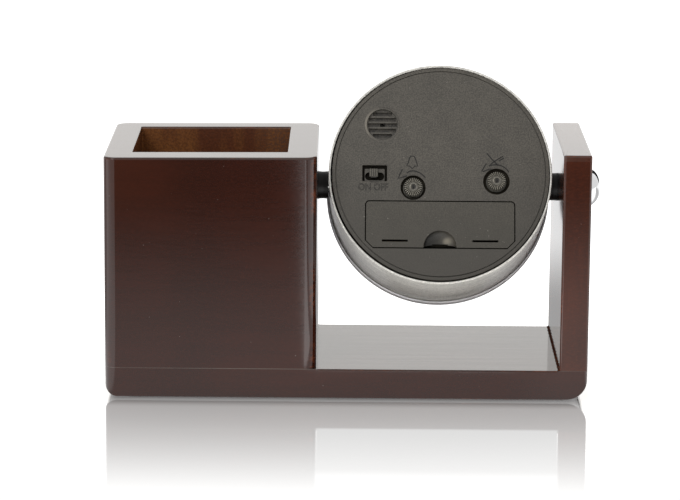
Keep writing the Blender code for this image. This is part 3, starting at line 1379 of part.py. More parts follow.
def make_movement_screws(frame):
    """Screws through the lugs into the rear cover's posts."""
    for number, place in enumerate(lug_places(), 1):
        top = MOVEMENT_FRONT_Z - RUNNING_GAP / 2
        seat = MOVEMENT_FRONT_Z - CASE_SCREW_HEAD_HEIGHT + RUNNING_GAP / 2
        end = PLATE_REAR_Z - CASE_SCREW_LENGTH + SCREW_POINT
        profile = [(0, top), (CASE_SCREW_HEAD_RADIUS, top), (CASE_SCREW_HEAD_RADIUS, seat),
                   (CASE_SCREW_RADIUS, seat), (CASE_SCREW_RADIUS, end + SCREW_POINT), (0, end)]
        screw = revolve(f"movement_screw_{number}", profile, ARBOR_STEPS, frame)
        screw.location = (place.x, place.y, 0)
        finish(screw, material(f"case_screw_steel_{number}", STEEL, 0.35, 1.0))


def make_centre_nut(frame):
    """Hexagon nut on the centre bush, in front of the dial."""
    low = DIAL_FRONT_Z + SEAT_GAP
    high = low + CENTRE_NUT_THICKNESS
    bore = CENTRE_BUSH_RADIUS + RUNNING_GAP
    nut = cylinder("centre_nut", bore + CENTRE_NUT_WALL, low, high, steps=6, parent=frame)
    carve(nut, cylinder("centre_nut_bore", bore, low - OVERRUN, high + OVERRUN, parent=frame, guide=True))
    return finish(nut, material("centre_nut_brass", BRASS, 0.3, 1.0))


def pivot_holes(plate, frame, holes, low, high):
    """Through holes for arbors in a plate, given as name, place and radius."""
    for name, place, radius in holes:
        carve(plate, cylinder(f"{plate.name}_{name}", radius + RUNNING_GAP, low - OVERRUN, high + OVERRUN,
                              place, ARBOR_STEPS, frame, True))


def make_middle_plate(frame):
    """Plate between the motion work and the going train, on three pillars."""
    inset = MOVEMENT_WALL + SEAT_GAP
    low = MIDDLE_PLATE_Z - MOTION_THICKNESS
    plate = box("middle_plate", (-MOVEMENT_LEFT + inset, -MOVEMENT_BOTTOM + inset, low),
                (MOVEMENT_RIGHT - inset, MOVEMENT_TOP - inset, MIDDLE_PLATE_Z), frame)
    corner = MOVEMENT_WALL + PILLAR_INSET
    places = (Vector((-MOVEMENT_LEFT + corner, MOVEMENT_TOP - corner)),
              Vector((MOVEMENT_RIGHT - corner, MOVEMENT_TOP - corner)),
              Vector((-MOVEMENT_LEFT / 2, -MOVEMENT_BOTTOM + corner - PILLAR_RADIUS)))
    for number, place in enumerate(places):
        join(plate, cylinder(f"pillar_{number}", PILLAR_RADIUS, low + MOTION_THICKNESS / 2,
                             PLATE_REAR_Z - SEAT_GAP, place, ARBOR_STEPS, frame, True))
    pivot_holes(plate, frame, (
        ("centre", CENTRE, CANNON_SHANK_RADIUS), ("third", THIRD_ARBOR, TRAIN_ARBOR_RADIUS),
        ("fifth", FIFTH_ARBOR, TRAIN_ARBOR_RADIUS), ("rotor", ROTOR_ARBOR, TRAIN_ARBOR_RADIUS),
        ("alarm", ALARM_ARBOR, KNOB_ARBOR_RADIUS), ("time", TIME_ARBOR, KNOB_ARBOR_RADIUS),
    ), low, MIDDLE_PLATE_Z)
    return finish(plate, material("middle_plate_plastic", WHITE_PLASTIC, 0.5))


def make_rear_plate(frame):
    """Lid of the movement case, with the train's rear pivots."""
    plate = box("movement_rear_plate", (-MOVEMENT_LEFT, -MOVEMENT_BOTTOM, MOVEMENT_REAR_Z),
                (MOVEMENT_RIGHT, MOVEMENT_TOP, REAR_PLATE_Z), frame)
    pivot_holes(plate, frame, (
        ("second", CENTRE, SECOND_ARBOR_RADIUS), ("third", THIRD_ARBOR, TRAIN_ARBOR_RADIUS),
        ("fifth", FIFTH_ARBOR, TRAIN_ARBOR_RADIUS), ("rotor", ROTOR_ARBOR, TRAIN_ARBOR_RADIUS),
        ("alarm", ALARM_ARBOR, KNOB_ARBOR_RADIUS), ("time", TIME_ARBOR, KNOB_ARBOR_RADIUS),
    ), MOVEMENT_REAR_Z, REAR_PLATE_Z)
    return finish(plate, material("rear_plate_plastic", WHITE_PLASTIC, 0.5))


# Wheels

def gear(name, teeth, module, phase, front, thickness, place, frame, guide=False):
    """Gear whose front face is at the given level."""
    return slab(name, [gear_outline(teeth, module, phase)], front - thickness, front, place, frame, guide)


def pinion(name, teeth, module, phase, front, thickness, place, frame):
    """Guide solid of a pinion that stands out past both faces of the wheel in its layer."""
    return gear(name, teeth, module, phase, front + PINION_OVERHANG, thickness + 2 * PINION_OVERHANG,
                place, frame, True)


def arbor(name, radius, low, high, place, frame):
    """Guide solid of an arbor."""
    return cylinder(name, radius, low, high, place, ARBOR_STEPS, frame, True)


def make_alarm_gears(frame):
    """Alarm wheel on its pipe, and the knob's arbor with its pinion."""
    wheel = gear("alarm_wheel", ALARM_WHEEL_TEETH, ALARM_MODULE, FREE_PHASE, ALARM_LAYER_Z, MOTION_THICKNESS,
                 CENTRE, frame)
    low = ALARM_LAYER_Z - MOTION_THICKNESS
    join(wheel, cylinder("alarm_pipe", ALARM_PIPE_RADIUS, low + MOTION_THICKNESS / 2, ALARM_HAND_Z,
                         parent=frame, guide=True))
    carve(wheel, cylinder("alarm_pipe_bore", ALARM_BORE, low - OVERRUN, ALARM_HAND_Z + OVERRUN,
                          parent=frame, guide=True))
    finish(wheel, material("alarm_wheel_plastic", (210, 120, 60), 0.5))
    phase = mesh_phase(FREE_PHASE, ALARM_WHEEL_TEETH, ALARM_PINION_TEETH, ALARM_KNOB_ANGLE)
    make_setting_arbor("alarm_setting_arbor", ALARM_PINION_TEETH, ALARM_MODULE, phase, ALARM_LAYER_Z,
                       ALARM_ARBOR, frame)


def make_setting_arbor(name, teeth, module, phase, layer, place, frame):
    """Long arbor from the front plate out to a knob, with a pinion in the given layer."""
    item = gear(name, teeth, module, phase, layer + PINION_OVERHANG, MOTION_THICKNESS + 2 * PINION_OVERHANG,
                place, frame)
    rear = COVER_Z - KNOB_PROUD + KNOB_BORE_ROOM + RUNNING_GAP
    join(item, arbor(name + "_rod", KNOB_ARBOR_RADIUS, rear, PLATE_REAR_Z + PIVOT_DEPTH, place, frame))
    return finish(item, material(name + "_plastic", WHITE_PLASTIC, 0.4))


def make_motion_work(frame):
    """Cannon pinion, motion wheel, hour wheel and the time knob's arbor."""
    low = MOTION_LAYER_Z - MOTION_THICKNESS
    cannon = gear("cannon_pinion", CANNON_TEETH, MOTION_MODULE, FREE_PHASE, MOTION_LAYER_Z + PINION_OVERHANG,
                  MOTION_THICKNESS + 2 * PINION_OVERHANG, CENTRE, frame)
    shank_end = CENTRE_LAYER_Z - TRAIN_THICKNESS
    join(cannon, arbor("cannon_pipe", CANNON_PIPE_RADIUS, low, MINUTE_HAND_Z, CENTRE, frame),
         arbor("cannon_shank", CANNON_SHANK_RADIUS, shank_end, low + MOTION_THICKNESS / 2, CENTRE, frame))
    carve(cannon, arbor("cannon_bore", CANNON_BORE, shank_end - OVERRUN, MINUTE_HAND_Z + OVERRUN,
                        CENTRE, frame))
    finish(cannon, material("cannon_brass", BRASS, 0.3, 1.0))
    phase = mesh_phase(FREE_PHASE, CANNON_TEETH, MOTION_WHEEL_TEETH, MOTION_ANGLE)
    make_motion_wheel(phase, frame)
    hour_phase = mesh_phase(FREE_PHASE, MOTION_PINION_TEETH, HOUR_WHEEL_TEETH, MOTION_ANGLE + TURN / 2)
    hour = gear("hour_wheel", HOUR_WHEEL_TEETH, HOUR_MODULE, hour_phase, HOUR_LAYER_Z, MOTION_THICKNESS,
                CENTRE, frame)
    hour_low = HOUR_LAYER_Z - MOTION_THICKNESS
    join(hour, arbor("hour_pipe", HOUR_PIPE_RADIUS, hour_low + MOTION_THICKNESS / 2, HOUR_HAND_Z,
                     CENTRE, frame))
    carve(hour, arbor("hour_bore", HOUR_BORE, hour_low - OVERRUN, HOUR_HAND_Z + OVERRUN, CENTRE, frame))
    finish(hour, material("hour_wheel_plastic", WHITE_PLASTIC, 0.45))
    knob_phase = mesh_phase(phase, MOTION_WHEEL_TEETH, TIME_PINION_TEETH, TIME_KNOB_ANGLE)
    make_setting_arbor("time_setting_arbor", TIME_PINION_TEETH, MOTION_MODULE, knob_phase, MOTION_LAYER_Z,
                       TIME_ARBOR, frame)


def make_motion_wheel(phase, frame):
    """Wheel and pinion on the fixed stud."""
    wheel = gear("motion_wheel", MOTION_WHEEL_TEETH, MOTION_MODULE, phase, MOTION_LAYER_Z, MOTION_THICKNESS,
                 MOTION_ARBOR, frame)
    low = MOTION_LAYER_Z - MOTION_THICKNESS
    high = HOUR_LAYER_Z + PINION_OVERHANG
    leaf_length = high - low - MOTION_THICKNESS / 2
    leaf = gear("motion_pinion", MOTION_PINION_TEETH, HOUR_MODULE, FREE_PHASE, high, leaf_length,
                MOTION_ARBOR, frame, True)
    join(wheel, leaf)
    carve(wheel, arbor("motion_bore", KNOB_ARBOR_RADIUS + RUNNING_GAP, low - OVERRUN, high + OVERRUN,
                       MOTION_ARBOR, frame))
    return finish(wheel, material("motion_wheel_plastic", WHITE_PLASTIC, 0.45))


def make_train_wheel(name, wheel_teeth, wheel_module, wheel_phase, wheel_front, leaf_teeth, leaf_module,
                     leaf_front, place, radius, front_end, frame, colour):
    """Wheel with a pinion in the layer before it, on an arbor between the rear plate and its front end."""
    wheel = gear(name, wheel_teeth, wheel_module, wheel_phase, wheel_front, TRAIN_THICKNESS, place, frame)
    high = leaf_front + PINION_OVERHANG
    low = wheel_front - TRAIN_THICKNESS / 2
    join(wheel, gear(name + "_pinion", leaf_teeth, leaf_module, FREE_PHASE, high, high - low,
                     place, frame, True))
    rear_end = REAR_PLATE_Z - PIVOT_DEPTH
    join(wheel, arbor(name + "_arbor", radius, rear_end, front_end, place, frame))
    return finish(wheel, material(name + "_plastic", colour, 0.45))


def make_train(frame):
    """Rotor, fifth wheel, second wheel, third wheel and centre wheel."""
    pivot_end = MIDDLE_PLATE_Z - MOTION_THICKNESS + PIVOT_DEPTH
    make_rotor(pivot_end, frame)
    fifth_phase = mesh_phase(FREE_PHASE, ROTOR_TEETH, FIFTH_WHEEL_TEETH, ROTOR_ANGLE + TURN / 2)
    make_train_wheel("fifth_wheel", FIFTH_WHEEL_TEETH, FIFTH_MODULE, fifth_phase, FIFTH_LAYER_Z,
                     FIFTH_PINION_TEETH, SECOND_MODULE, SECOND_LAYER_Z, FIFTH_ARBOR, TRAIN_ARBOR_RADIUS,
                     pivot_end, frame, WHITE_PLASTIC)
    second_phase = mesh_phase(FREE_PHASE, FIFTH_PINION_TEETH, SECOND_WHEEL_TEETH, FIFTH_ANGLE + TURN / 2)
    make_train_wheel("second_wheel", SECOND_WHEEL_TEETH, SECOND_MODULE, second_phase, SECOND_LAYER_Z,
                     SECOND_PINION_TEETH, THIRD_MODULE, THIRD_LAYER_Z, CENTRE, SECOND_ARBOR_RADIUS,
                     SECOND_HAND_Z - HAND_THICKNESS / 2, frame, WHITE_PLASTIC)
    third_phase = mesh_phase(FREE_PHASE, SECOND_PINION_TEETH, THIRD_WHEEL_TEETH, THIRD_ANGLE)
    make_train_wheel("third_wheel", THIRD_WHEEL_TEETH, THIRD_MODULE, third_phase, THIRD_LAYER_Z,
                     THIRD_PINION_TEETH, CENTRE_MODULE, CENTRE_LAYER_Z, THIRD_ARBOR, TRAIN_ARBOR_RADIUS,
                     pivot_end, frame, WHITE_PLASTIC)
    centre_phase = mesh_phase(FREE_PHASE, THIRD_PINION_TEETH, CENTRE_WHEEL_TEETH, THIRD_ANGLE + TURN / 2)
    centre = gear("centre_wheel", CENTRE_WHEEL_TEETH, CENTRE_MODULE, centre_phase, CENTRE_LAYER_Z,
                  TRAIN_THICKNESS, CENTRE, frame)
    carve(centre, arbor("centre_wheel_bore", CANNON_SHANK_RADIUS + RUNNING_GAP, shaft_low(), shaft_high(),
                        CENTRE, frame))
    finish(centre, material("centre_wheel_plastic", (214, 176, 60), 0.45))


def shaft_low():
    """Level behind the centre wheel that its bore's cutter starts from."""
    return CENTRE_LAYER_Z - TRAIN_THICKNESS - OVERRUN


def shaft_high():
    """Level in front of the centre wheel that its bore's cutter ends at."""
    return CENTRE_LAYER_Z + OVERRUN


def make_rotor(pivot_end, frame):
    """Magnet with its pinion, on the rotor's arbor."""
    magnet_front = rotor_magnet_front()
    rotor = cylinder("rotor", MAGNET_RADIUS, magnet_front - MAGNET_THICKNESS, magnet_front, ROTOR_ARBOR,
                     parent=frame)
    shaft = arbor("rotor_arbor", TRAIN_ARBOR_RADIUS, REAR_PLATE_Z - PIVOT_DEPTH, pivot_end,
                  ROTOR_ARBOR, frame)
    leaves = pinion("rotor_pinion", ROTOR_TEETH, FIFTH_MODULE, FREE_PHASE, FIFTH_LAYER_Z, TRAIN_THICKNESS,
                    ROTOR_ARBOR, frame)
    join(rotor, shaft, leaves)
    return finish(rotor, material("rotor_magnet", (70, 70, 74), 0.4, 0.6))


def rotor_magnet_front():
    """Front face of the rotor's magnet, level with the centre wheel's rear face."""
    return CENTRE_LAYER_Z - TRAIN_THICKNESS


def stator_front():
    """Front face of the stator, at the middle of the magnet."""
    return rotor_magnet_front() - MAGNET_THICKNESS / 2 + STATOR_THICKNESS / 2


def make_motor(frame):
    """Stator plate round the rotor, and the coil across its two legs."""
    pole = MAGNET_RADIUS + STATOR_AIR_GAP + STATOR_SIDE
    front = stator_front()
    left = ROTOR_ARBOR.x - pole
    right = ROTOR_ARBOR.x + pole
    bottom = ROTOR_ARBOR.y - pole
    top = COIL_Y + CORE_WIDTH / 2
    shoulder = ROTOR_ARBOR.y + pole
    outline = [Vector(point) for point in (
        (left - STATOR_LEG, bottom), (right, bottom), (right, top), (right - STATOR_LEG, top),
        (right - STATOR_LEG, shoulder), (left, shoulder), (left, top), (left - STATOR_LEG, top))]
    stator = slab("stator", [outline], front - STATOR_THICKNESS, front, parent=frame)
    carve(stator, cylinder("stator_hole", MAGNET_RADIUS + STATOR_AIR_GAP, front - STATOR_THICKNESS - OVERRUN,
                           front + OVERRUN, ROTOR_ARBOR, parent=frame, guide=True))
    finish(stator, material("stator_iron", (150, 150, 150), 0.4, 1.0))
    core_front = front - STATOR_THICKNESS - SEAT_GAP
    coil = box("coil", (left - STATOR_LEG, COIL_Y - CORE_WIDTH / 2, core_front - CORE_THICKNESS),
               (right, COIL_Y + CORE_WIDTH / 2, core_front), frame)
    middle_x = (left - STATOR_LEG + right) / 2
    middle_z = core_front - CORE_THICKNESS / 2
    for name, radius, half in (("winding", COIL_RADIUS, COIL_LENGTH / 2),
                               ("flange_a", COIL_RADIUS + COIL_FLANGE_RISE, COIL_FLANGE / 2),
                               ("flange_b", COIL_RADIUS + COIL_FLANGE_RISE, COIL_FLANGE / 2)):
        turned = cylinder(f"coil_{name}", radius, -half, half, steps=ARBOR_STEPS, parent=frame, guide=True)
        end = {"winding": 0, "flange_a": -COIL_LENGTH / 2, "flange_b": COIL_LENGTH / 2}[name]
        turned.location = (middle_x + end, COIL_Y, middle_z)
        turned.rotation_euler = (0, TURN / 4, 0)
        join(coil, turned)
    finish(coil, material("coil_wire", (168, 92, 48), 0.35, 0.6))


# Knobs and hands

def make_knob(name, place, frame):
    """Ribbed knob with a flange in its well and a dimple in its end."""
    top = COVER_Z - KNOB_PROUD
    flange_high = COVER_Z + WELL_DEPTH - SEAT_GAP
    flange_low = flange_high - KNOB_FLANGE_THICKNESS
    outline = serrated_outline(KNOB_TIP_RADIUS, KNOB_RIB_DEPTH, KNOB_RIB_COUNT)
    knob = slab(name, [outline], top, flange_low + KNOB_FLANGE_THICKNESS / 2, place, frame)
    join(knob, cylinder(name + "_flange", KNOB_FLANGE_RADIUS, flange_low, flange_high, place, parent=frame,
                        guide=True))
    dimple = revolve(name + "_dimple", [(0, top + KNOB_DIMPLE_DEPTH), (KNOB_DIMPLE_RADIUS, top),
                                        (KNOB_DIMPLE_RADIUS, top - OVERRUN), (0, top - OVERRUN)],
                     ARBOR_STEPS, frame, True)
    dimple.location = (place.x, place.y, 0)
    carve(knob, dimple, cylinder(name + "_bore", KNOB_ARBOR_RADIUS + HAND_BORE_GAP, top + KNOB_BORE_ROOM,
                                 flange_high + OVERRUN, place, ARBOR_STEPS, frame, True))
    return finish(knob, material(name + "_plastic", (70, 67, 61), 0.5))


def hand_angle(turns_clockwise):
    """Angle from +X of a hand that has gone that many turns clockwise from twelve."""
    return TURN / 4 - TURN * turns_clockwise


def make_hand(name, turns, length, width, front, bore_radius, colour, frame, metallic=0.0):
    """Tapered hand with a round hub."""
    angle = hand_angle(turns)
    along = polar(1, angle)
    across = polar(1, angle + TURN / 4)
    tail = -length * HAND_TAIL_SHARE
    outline = [along * tail + across * width / 2, along * tail - across * width / 2,
               along * length - across * width * HAND_TIP_SHARE / 2,
               along * length + across * width * HAND_TIP_SHARE / 2]
    low = front - HAND_THICKNESS
    hand = slab(name, [outline], low, front, parent=frame)
    hub_radius = bore_radius + HAND_HUB_WALL
    hub_low = low - HAND_GAP / 4
    join(hand, cylinder(name + "_hub", hub_radius, hub_low, front + HAND_GAP / 4, parent=frame, guide=True))
    return hand, hub_low, material(name + "_paint", colour, 0.35, metallic)


def bore_hand(hand, bore_radius, hub_low, front, frame):
    """Hole through a hand's hub for its pipe."""
    bore = cylinder(hand.name + "_bore", bore_radius, hub_low - OVERRUN, front + OVERRUN,
                    parent=frame, guide=True)
    return carve(hand, bore)


def make_hands(frame):
    """Alarm, hour, minute and second hands, from the dial outward."""
    minutes = REST_MINUTES + REST_SECONDS / 60
    hours = REST_HOURS + minutes / 60
    plans = (
        ("alarm_hand", REST_ALARM_HOURS / 12, ALARM_HAND_LENGTH, ALARM_HAND_WIDTH, ALARM_HAND_Z,
         ALARM_PIPE_RADIUS, (196, 44, 36), 0.0),
        ("hour_hand", hours / 12, HOUR_HAND_LENGTH, HOUR_HAND_WIDTH, HOUR_HAND_Z,
         HOUR_PIPE_RADIUS, (28, 28, 30), 0.0),
        ("minute_hand", minutes / 60, MINUTE_HAND_LENGTH, MINUTE_HAND_WIDTH, MINUTE_HAND_Z,
         CANNON_PIPE_RADIUS, (28, 28, 30), 0.0),
        ("second_hand", REST_SECONDS / 60, SECOND_HAND_LENGTH, SECOND_HAND_WIDTH, SECOND_HAND_Z,
         SECOND_ARBOR_RADIUS, (28, 28, 30), 0.0),
    )
    for name, turns, length, width, front, pipe_radius, colour, metallic in plans:
        bore = pipe_radius + HAND_BORE_GAP
        hand, hub_low, look = make_hand(name, turns, length, width, front, bore, colour, frame, metallic)
        bore_hand(hand, bore, hub_low, front, frame)
        finish(hand, look)


def make_clock():
    """Build the stand, then the clock in its tilted frame."""
    frame = bpy.data.objects.new("clock_frame", None)
    PARTS.objects.link(frame)
    frame.location = (PIVOT_X, 0, PIVOT_Z)
    frame.rotation_euler = (TURN / 4 + REST_TILT, 0, 0)
    make_base()
    make_felt()
    inner_wall = make_box_walls()
    upright = make_upright()
    drill_stand(inner_wall, upright)
    make_dowels()
    make_pivot(1, "box")
    make_pivot(-1, "upright")
    make_dome()
    make_case_drum(frame)
    make_bezel(frame)
    make_lens(frame)
    make_dial_ring(frame)
    make_dial(frame)
    make_rear_cover(frame)
    make_battery(frame)
    make_door(frame)
    make_switch_set(frame)
    make_slider(frame)
    make_sounder(frame)
    make_movement_case(frame)
    make_movement_screws(frame)
    make_centre_nut(frame)
    make_middle_plate(frame)
    make_rear_plate(frame)
    make_alarm_gears(frame)
    make_motion_work(frame)
    make_train(frame)
    make_motor(frame)
    make_knob("alarm_knob", ALARM_ARBOR, frame)
    make_knob("time_knob", TIME_ARBOR, frame)
    make_hands(frame)
    bpy.context.view_layer.update()


make_clock()
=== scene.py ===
"""Looks of the desk clock: a pen box and an upright board in dark lacquer, and between them a round alarm
clock that hangs on two pivots with its rear cover toward the camera.

The clock's own axes, used for its pieces, have +Z out of the dial, +Y toward twelve o'clock, and the rear
cover at -Z. The cover's own levels start at its panel's outer face, PANEL_FACE.
"""

import json
import math

import bpy
import numpy as np
from mathutils import Matrix


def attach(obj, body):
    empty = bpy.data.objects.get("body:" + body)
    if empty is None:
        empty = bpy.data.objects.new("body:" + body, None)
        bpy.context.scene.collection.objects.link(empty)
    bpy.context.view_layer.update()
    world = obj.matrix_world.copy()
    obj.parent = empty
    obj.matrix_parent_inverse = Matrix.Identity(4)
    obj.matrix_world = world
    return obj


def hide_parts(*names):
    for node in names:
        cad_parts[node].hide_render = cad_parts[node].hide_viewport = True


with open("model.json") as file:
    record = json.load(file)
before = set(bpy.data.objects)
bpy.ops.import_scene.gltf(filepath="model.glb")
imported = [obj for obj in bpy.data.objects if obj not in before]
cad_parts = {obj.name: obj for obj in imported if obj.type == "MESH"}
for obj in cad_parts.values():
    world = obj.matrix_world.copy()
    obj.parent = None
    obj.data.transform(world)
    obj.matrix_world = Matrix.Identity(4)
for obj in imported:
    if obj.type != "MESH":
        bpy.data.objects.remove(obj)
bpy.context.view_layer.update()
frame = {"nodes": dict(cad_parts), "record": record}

MM = 0.001
TURN = 2 * math.pi
TILT = math.radians(113)
CLOCK_X = -37.7
CLOCK_Z = 81.5
PANEL = -22.4


def moved(x, y, z=0.0):
    """Matrix that moves by x, y and z."""
    return Matrix.Translation((x, y, z))


STAND = Matrix.Identity(4)
PIVOT = moved(CLOCK_X, 0, CLOCK_Z)
CLOCK = PIVOT @ Matrix.Rotation(TILT, 4, "X")
PANEL_FACE = CLOCK @ moved(0, 0, PANEL)
TOWARD_BOX = PIVOT @ Matrix.Rotation(TURN / 4, 4, "Y")
TOWARD_UPRIGHT = PIVOT @ Matrix.Rotation(-TURN / 4, 4, "Y")


# Surfaces: points and faces as whole arrays

class Shell:
    """Points, the faces' corners one after another, each face's corner count, and a value from -1 to 1 for
    each
    point: rubbed edges on wood, painted shade where positive and a painted highlight where negative on
    moulded plastic.
    """

    def __init__(self, points, corners, counts, wear=None):
        self.points = np.asarray(points, float)
        self.corners = np.asarray(corners, int)
        self.counts = np.asarray(counts, int)
        self.wear = np.zeros(len(self.points)) if wear is None else np.asarray(wear, float)

    def placed(self, matrix):
        """The same shell after a 4x4 matrix: each point times the matrix."""
        m = np.array(matrix)
        self.points = self.points @ m[:3, :3].T + m[:3, 3]
        return self

    def worn(self, wear):
        """The same shell with one value of painted shade, negative for a painted highlight, or one for each
        point.
        """
        self.wear = np.zeros(len(self.points)) + wear
        return self


def joined(shells):
    """One shell from several, their arrays end to end."""
    shifts = np.cumsum([0] + [len(shell.points) for shell in shells[:-1]])
    return Shell(np.concatenate([shell.points for shell in shells]),
                 np.concatenate([shell.corners + shift for shell, shift in zip(shells, shifts)]),
                 np.concatenate([shell.counts for shell in shells]),
                 np.concatenate([shell.wear for shell in shells]))


def facing_out(shell):
    """The shell, its faces turned round where the volume under them is negative."""
    starts = np.cumsum(shell.counts) - shell.counts
    owner = np.repeat(np.arange(len(shell.counts)), shell.counts)
    place = np.arange(len(shell.corners)) - starts[owner]
    first = shell.points[shell.corners[starts[owner]]]
    here = shell.points[shell.corners]
    follow = np.where(place + 1 < shell.counts[owner], np.arange(len(shell.corners)) + 1, starts[owner])
    volume = np.einsum("ij,ij->i", first, np.cross(here, shell.points[shell.corners[follow]])).sum()
    if volume < 0:
        shell.corners = shell.corners[starts[owner] + shell.counts[owner] - 1 - place]
    return shell


def skin(rings, closed=False, wear=None):
    """Surface over an array of (rings, points, 3): four-cornered faces between neighbours. The last ring
    meets the first if closed, or else both end rings get a fan from their mean."""
    count, around = rings.shape[:2]
    points = rings.reshape(-1, 3)
    row = np.arange(count if closed else count - 1)[:, None]
    here = np.arange(around)[None, :]
    there = (here + 1) % around
    above = (row + 1) % count
    quads = np.stack([row * around + here, row * around + there,
                      above * around + there, above * around + here], -1).reshape(-1)
    corners, counts = [quads], [np.full(len(quads) // 4, 4)]
    ring_wear_and_light = np.zeros(count) if wear is None else np.asarray(wear, float)
    point_wear_and_light = np.broadcast_to(ring_wear_and_light.reshape(count, -1), (count, around)).reshape(-1)
    if not closed:
        ends = rings[[0, -1]].mean(1)
        low = np.stack([np.full(around, len(points)), there[0], here[0]], -1)
        last = (count - 1) * around
        high = np.stack([np.full(around, len(points) + 1), here[0] + last, there[0] + last], -1)
        points = np.concatenate([points, ends])
        corners += [low.reshape(-1), high.reshape(-1)]
        counts += [np.full(2 * around, 3)]
        point_wear_and_light = np.concatenate([point_wear_and_light, np.zeros(2)])
    return facing_out(Shell(points, np.concatenate(corners), np.concatenate(counts), point_wear_and_light))


def turned(profile, steps, closed=False, ripple=None):
    """Turned shape: profile point (r, z) at angle a lies at (r cos a, r sin a, z). A ripple may change r
    and z by angle before that, and gives each point's value of painted shade and highlight."""
    angle = np.arange(steps) * TURN / steps
    radius, level = [np.repeat(column[:, None], steps, 1) for column in np.asarray(profile, float).T]
    wear = None
    if ripple:
        radius, level, wear = ripple(radius, level, angle[None, :])
    rings = np.stack([radius * np.cos(angle), radius * np.sin(angle), level], -1)
    return skin(rings, closed, wear)


def fillet(corners, radii, arc=4):
    """Profile with round corners: at each corner, points p + (a - p) t (1 - s)^2 + (b - p) t s^2 of a
    parabola between the two sides, close to a circle."""
    corners = np.asarray(corners, float)
    before, after = np.roll(corners, 1, 0) - corners, np.roll(corners, -1, 0) - corners
    radii = np.broadcast_to(np.asarray(radii, float), len(corners))[:, None]
    near = before / np.linalg.norm(before, axis=1, keepdims=True) * radii
    far = after / np.linalg.norm(after, axis=1, keepdims=True) * radii
    share = np.linspace(0, 1, arc)[None, :, None]
    points = corners[:, None] + near[:, None] * (1 - share) ** 2 + far[:, None] * share ** 2
    return points.reshape(-1, 2)


def outline(corners, radii, inset=0.0, arc=8):
    """Convex anticlockwise polygon with an arc of a circle at each corner, or a straight chamfer where the
    radius is negative. An inset moves the sides inward."""
    corners = np.asarray(corners, float)
    side = np.roll(corners, -1, 0) - corners
    side /= np.linalg.norm(side, axis=1, keepdims=True)
    inward = np.stack([-side[:, 1], side[:, 0]], 1)
    last = np.roll(inward, 1, 0)
    slant = (inward + last) / (1 + (inward * last).sum(1, keepdims=True))
    radii = np.broadcast_to(np.asarray(radii, float), len(corners))
    round_radius = np.maximum(np.abs(radii) - inset, 0.02)[:, None]
    centre = corners + slant * (inset + round_radius)
    start = np.arctan2(-last[:, 1], -last[:, 0])
    sweep = np.mod(np.arctan2(-inward[:, 1], -inward[:, 0]) - start, TURN)
    share = np.linspace(0, 1, arc)[None, :]
    angle = start[:, None] + sweep[:, None] * share
    arcs = centre[:, None] + round_radius[:, None] * np.stack([np.cos(angle), np.sin(angle)], -1)
    straight = arcs[:, :1] + (arcs[:, -1:] - arcs[:, :1]) * share[..., None]
    return np.where((radii < 0)[:, None, None], straight, arcs).reshape(-1, 2)


def rectangle(low, high):
    """Corners of an upright rectangle, anticlockwise."""
    return [(low[0], low[1]), (high[0], low[1]), (high[0], high[1]), (low[0], high[1])]


def circle(centre, radius, steps=64):
    """Round outline: centre + radius (cos a, sin a)."""
    angle = np.arange(steps) * TURN / steps
    return np.asarray(centre) + radius * np.stack([np.cos(angle), np.sin(angle)], -1)


def ease(steps):
    """1 - cos a at even angles over a quarter turn."""
    return 1 - np.cos(np.linspace(0, TURN / 4, steps))


def rounding(radius, level, up, arc=5):
    """Insets, levels and wear of a block's round edge: inset r (1 - cos a) and level z - r (1 - sin a),
    with a from 0 at the side to a quarter turn at the end face."""
    angle = np.linspace(0, TURN / 4, arc)
    return radius * ease(arc), level - up * radius * (1 - np.sin(angle)), np.sin(2 * angle)


def corner_wear(arc):
    """Wear of a rectangle's four corner arcs, highest in the middle of each."""
    return np.tile(np.sin(np.linspace(0, math.pi, arc)), 4)


def at_level(line, level):
    """Outline with one Z for all its points."""
    return np.column_stack([line, np.full(len(line), level)])


def block(low, high, radius, bottom, top, low_edge=0.3, high_edge=0.3, arc=8):
    """Upright block on a rectangle with round corners, its edges round at both ends."""
    lower = [column[::-1] for column in rounding(low_edge, bottom, -1)]
    upper = rounding(high_edge, top, 1)
    insets, levels, wear = [np.concatenate(pair) for pair in zip(lower, upper)]
    rings = [at_level(outline(rectangle(low, high), radius, inset, arc), level)
             for inset, level in zip(insets, levels)]
    return skin(np.array(rings), wear=np.maximum(wear[:, None], corner_wear(arc)))


def plate(outlines, low, high):
    """Flat plate on closed outlines, where an outline inside another is a hole."""
    curve = bpy.data.curves.new("plate", "CURVE")
    curve.dimensions = "2D"
    curve.fill_mode = "BOTH"
    curve.extrude = (high - low) / 2
    for line in outlines:
        spline = curve.splines.new("POLY")
        spline.points.add(len(line) - 1)
        spline.points.foreach_set("co", np.column_stack([at_level(line, 0), np.ones(len(line))]).ravel())
        spline.use_cyclic_u = True
    return from_curve(curve, moved(0, 0, (low + high) / 2))


def linked(name, data):
    """New object of the scene with this data."""
    made = bpy.data.objects.new(name, data)
    bpy.context.scene.collection.objects.link(made)
    return made


def from_curve(curve, place):
    """Closed shell of a filled curve or a text, its caps and sides welded."""
    source = linked("drawn", curve)
    bpy.context.view_layer.update()
    mesh = bpy.data.meshes.new_from_object(source.evaluated_get(bpy.context.evaluated_depsgraph_get()))
    bpy.data.objects.remove(source)
    bpy.data.curves.remove(curve)
    points = np.empty(len(mesh.vertices) * 3)
    corners = np.empty(len(mesh.loops), int)
    counts = np.empty(len(mesh.polygons), int)
    mesh.vertices.foreach_get("co", points)
    mesh.loops.foreach_get("vertex_index", corners)
    mesh.polygons.foreach_get("loop_total", counts)
    bpy.data.meshes.remove(mesh)
    first, same = np.unique(np.round(points.reshape(-1, 3), 4), axis=0, return_index=True,
                            return_inverse=True)[1:]
    shell = Shell(points.reshape(-1, 3)[first], same.reshape(-1)[corners], counts)
    return facing_out(shell).placed(place)


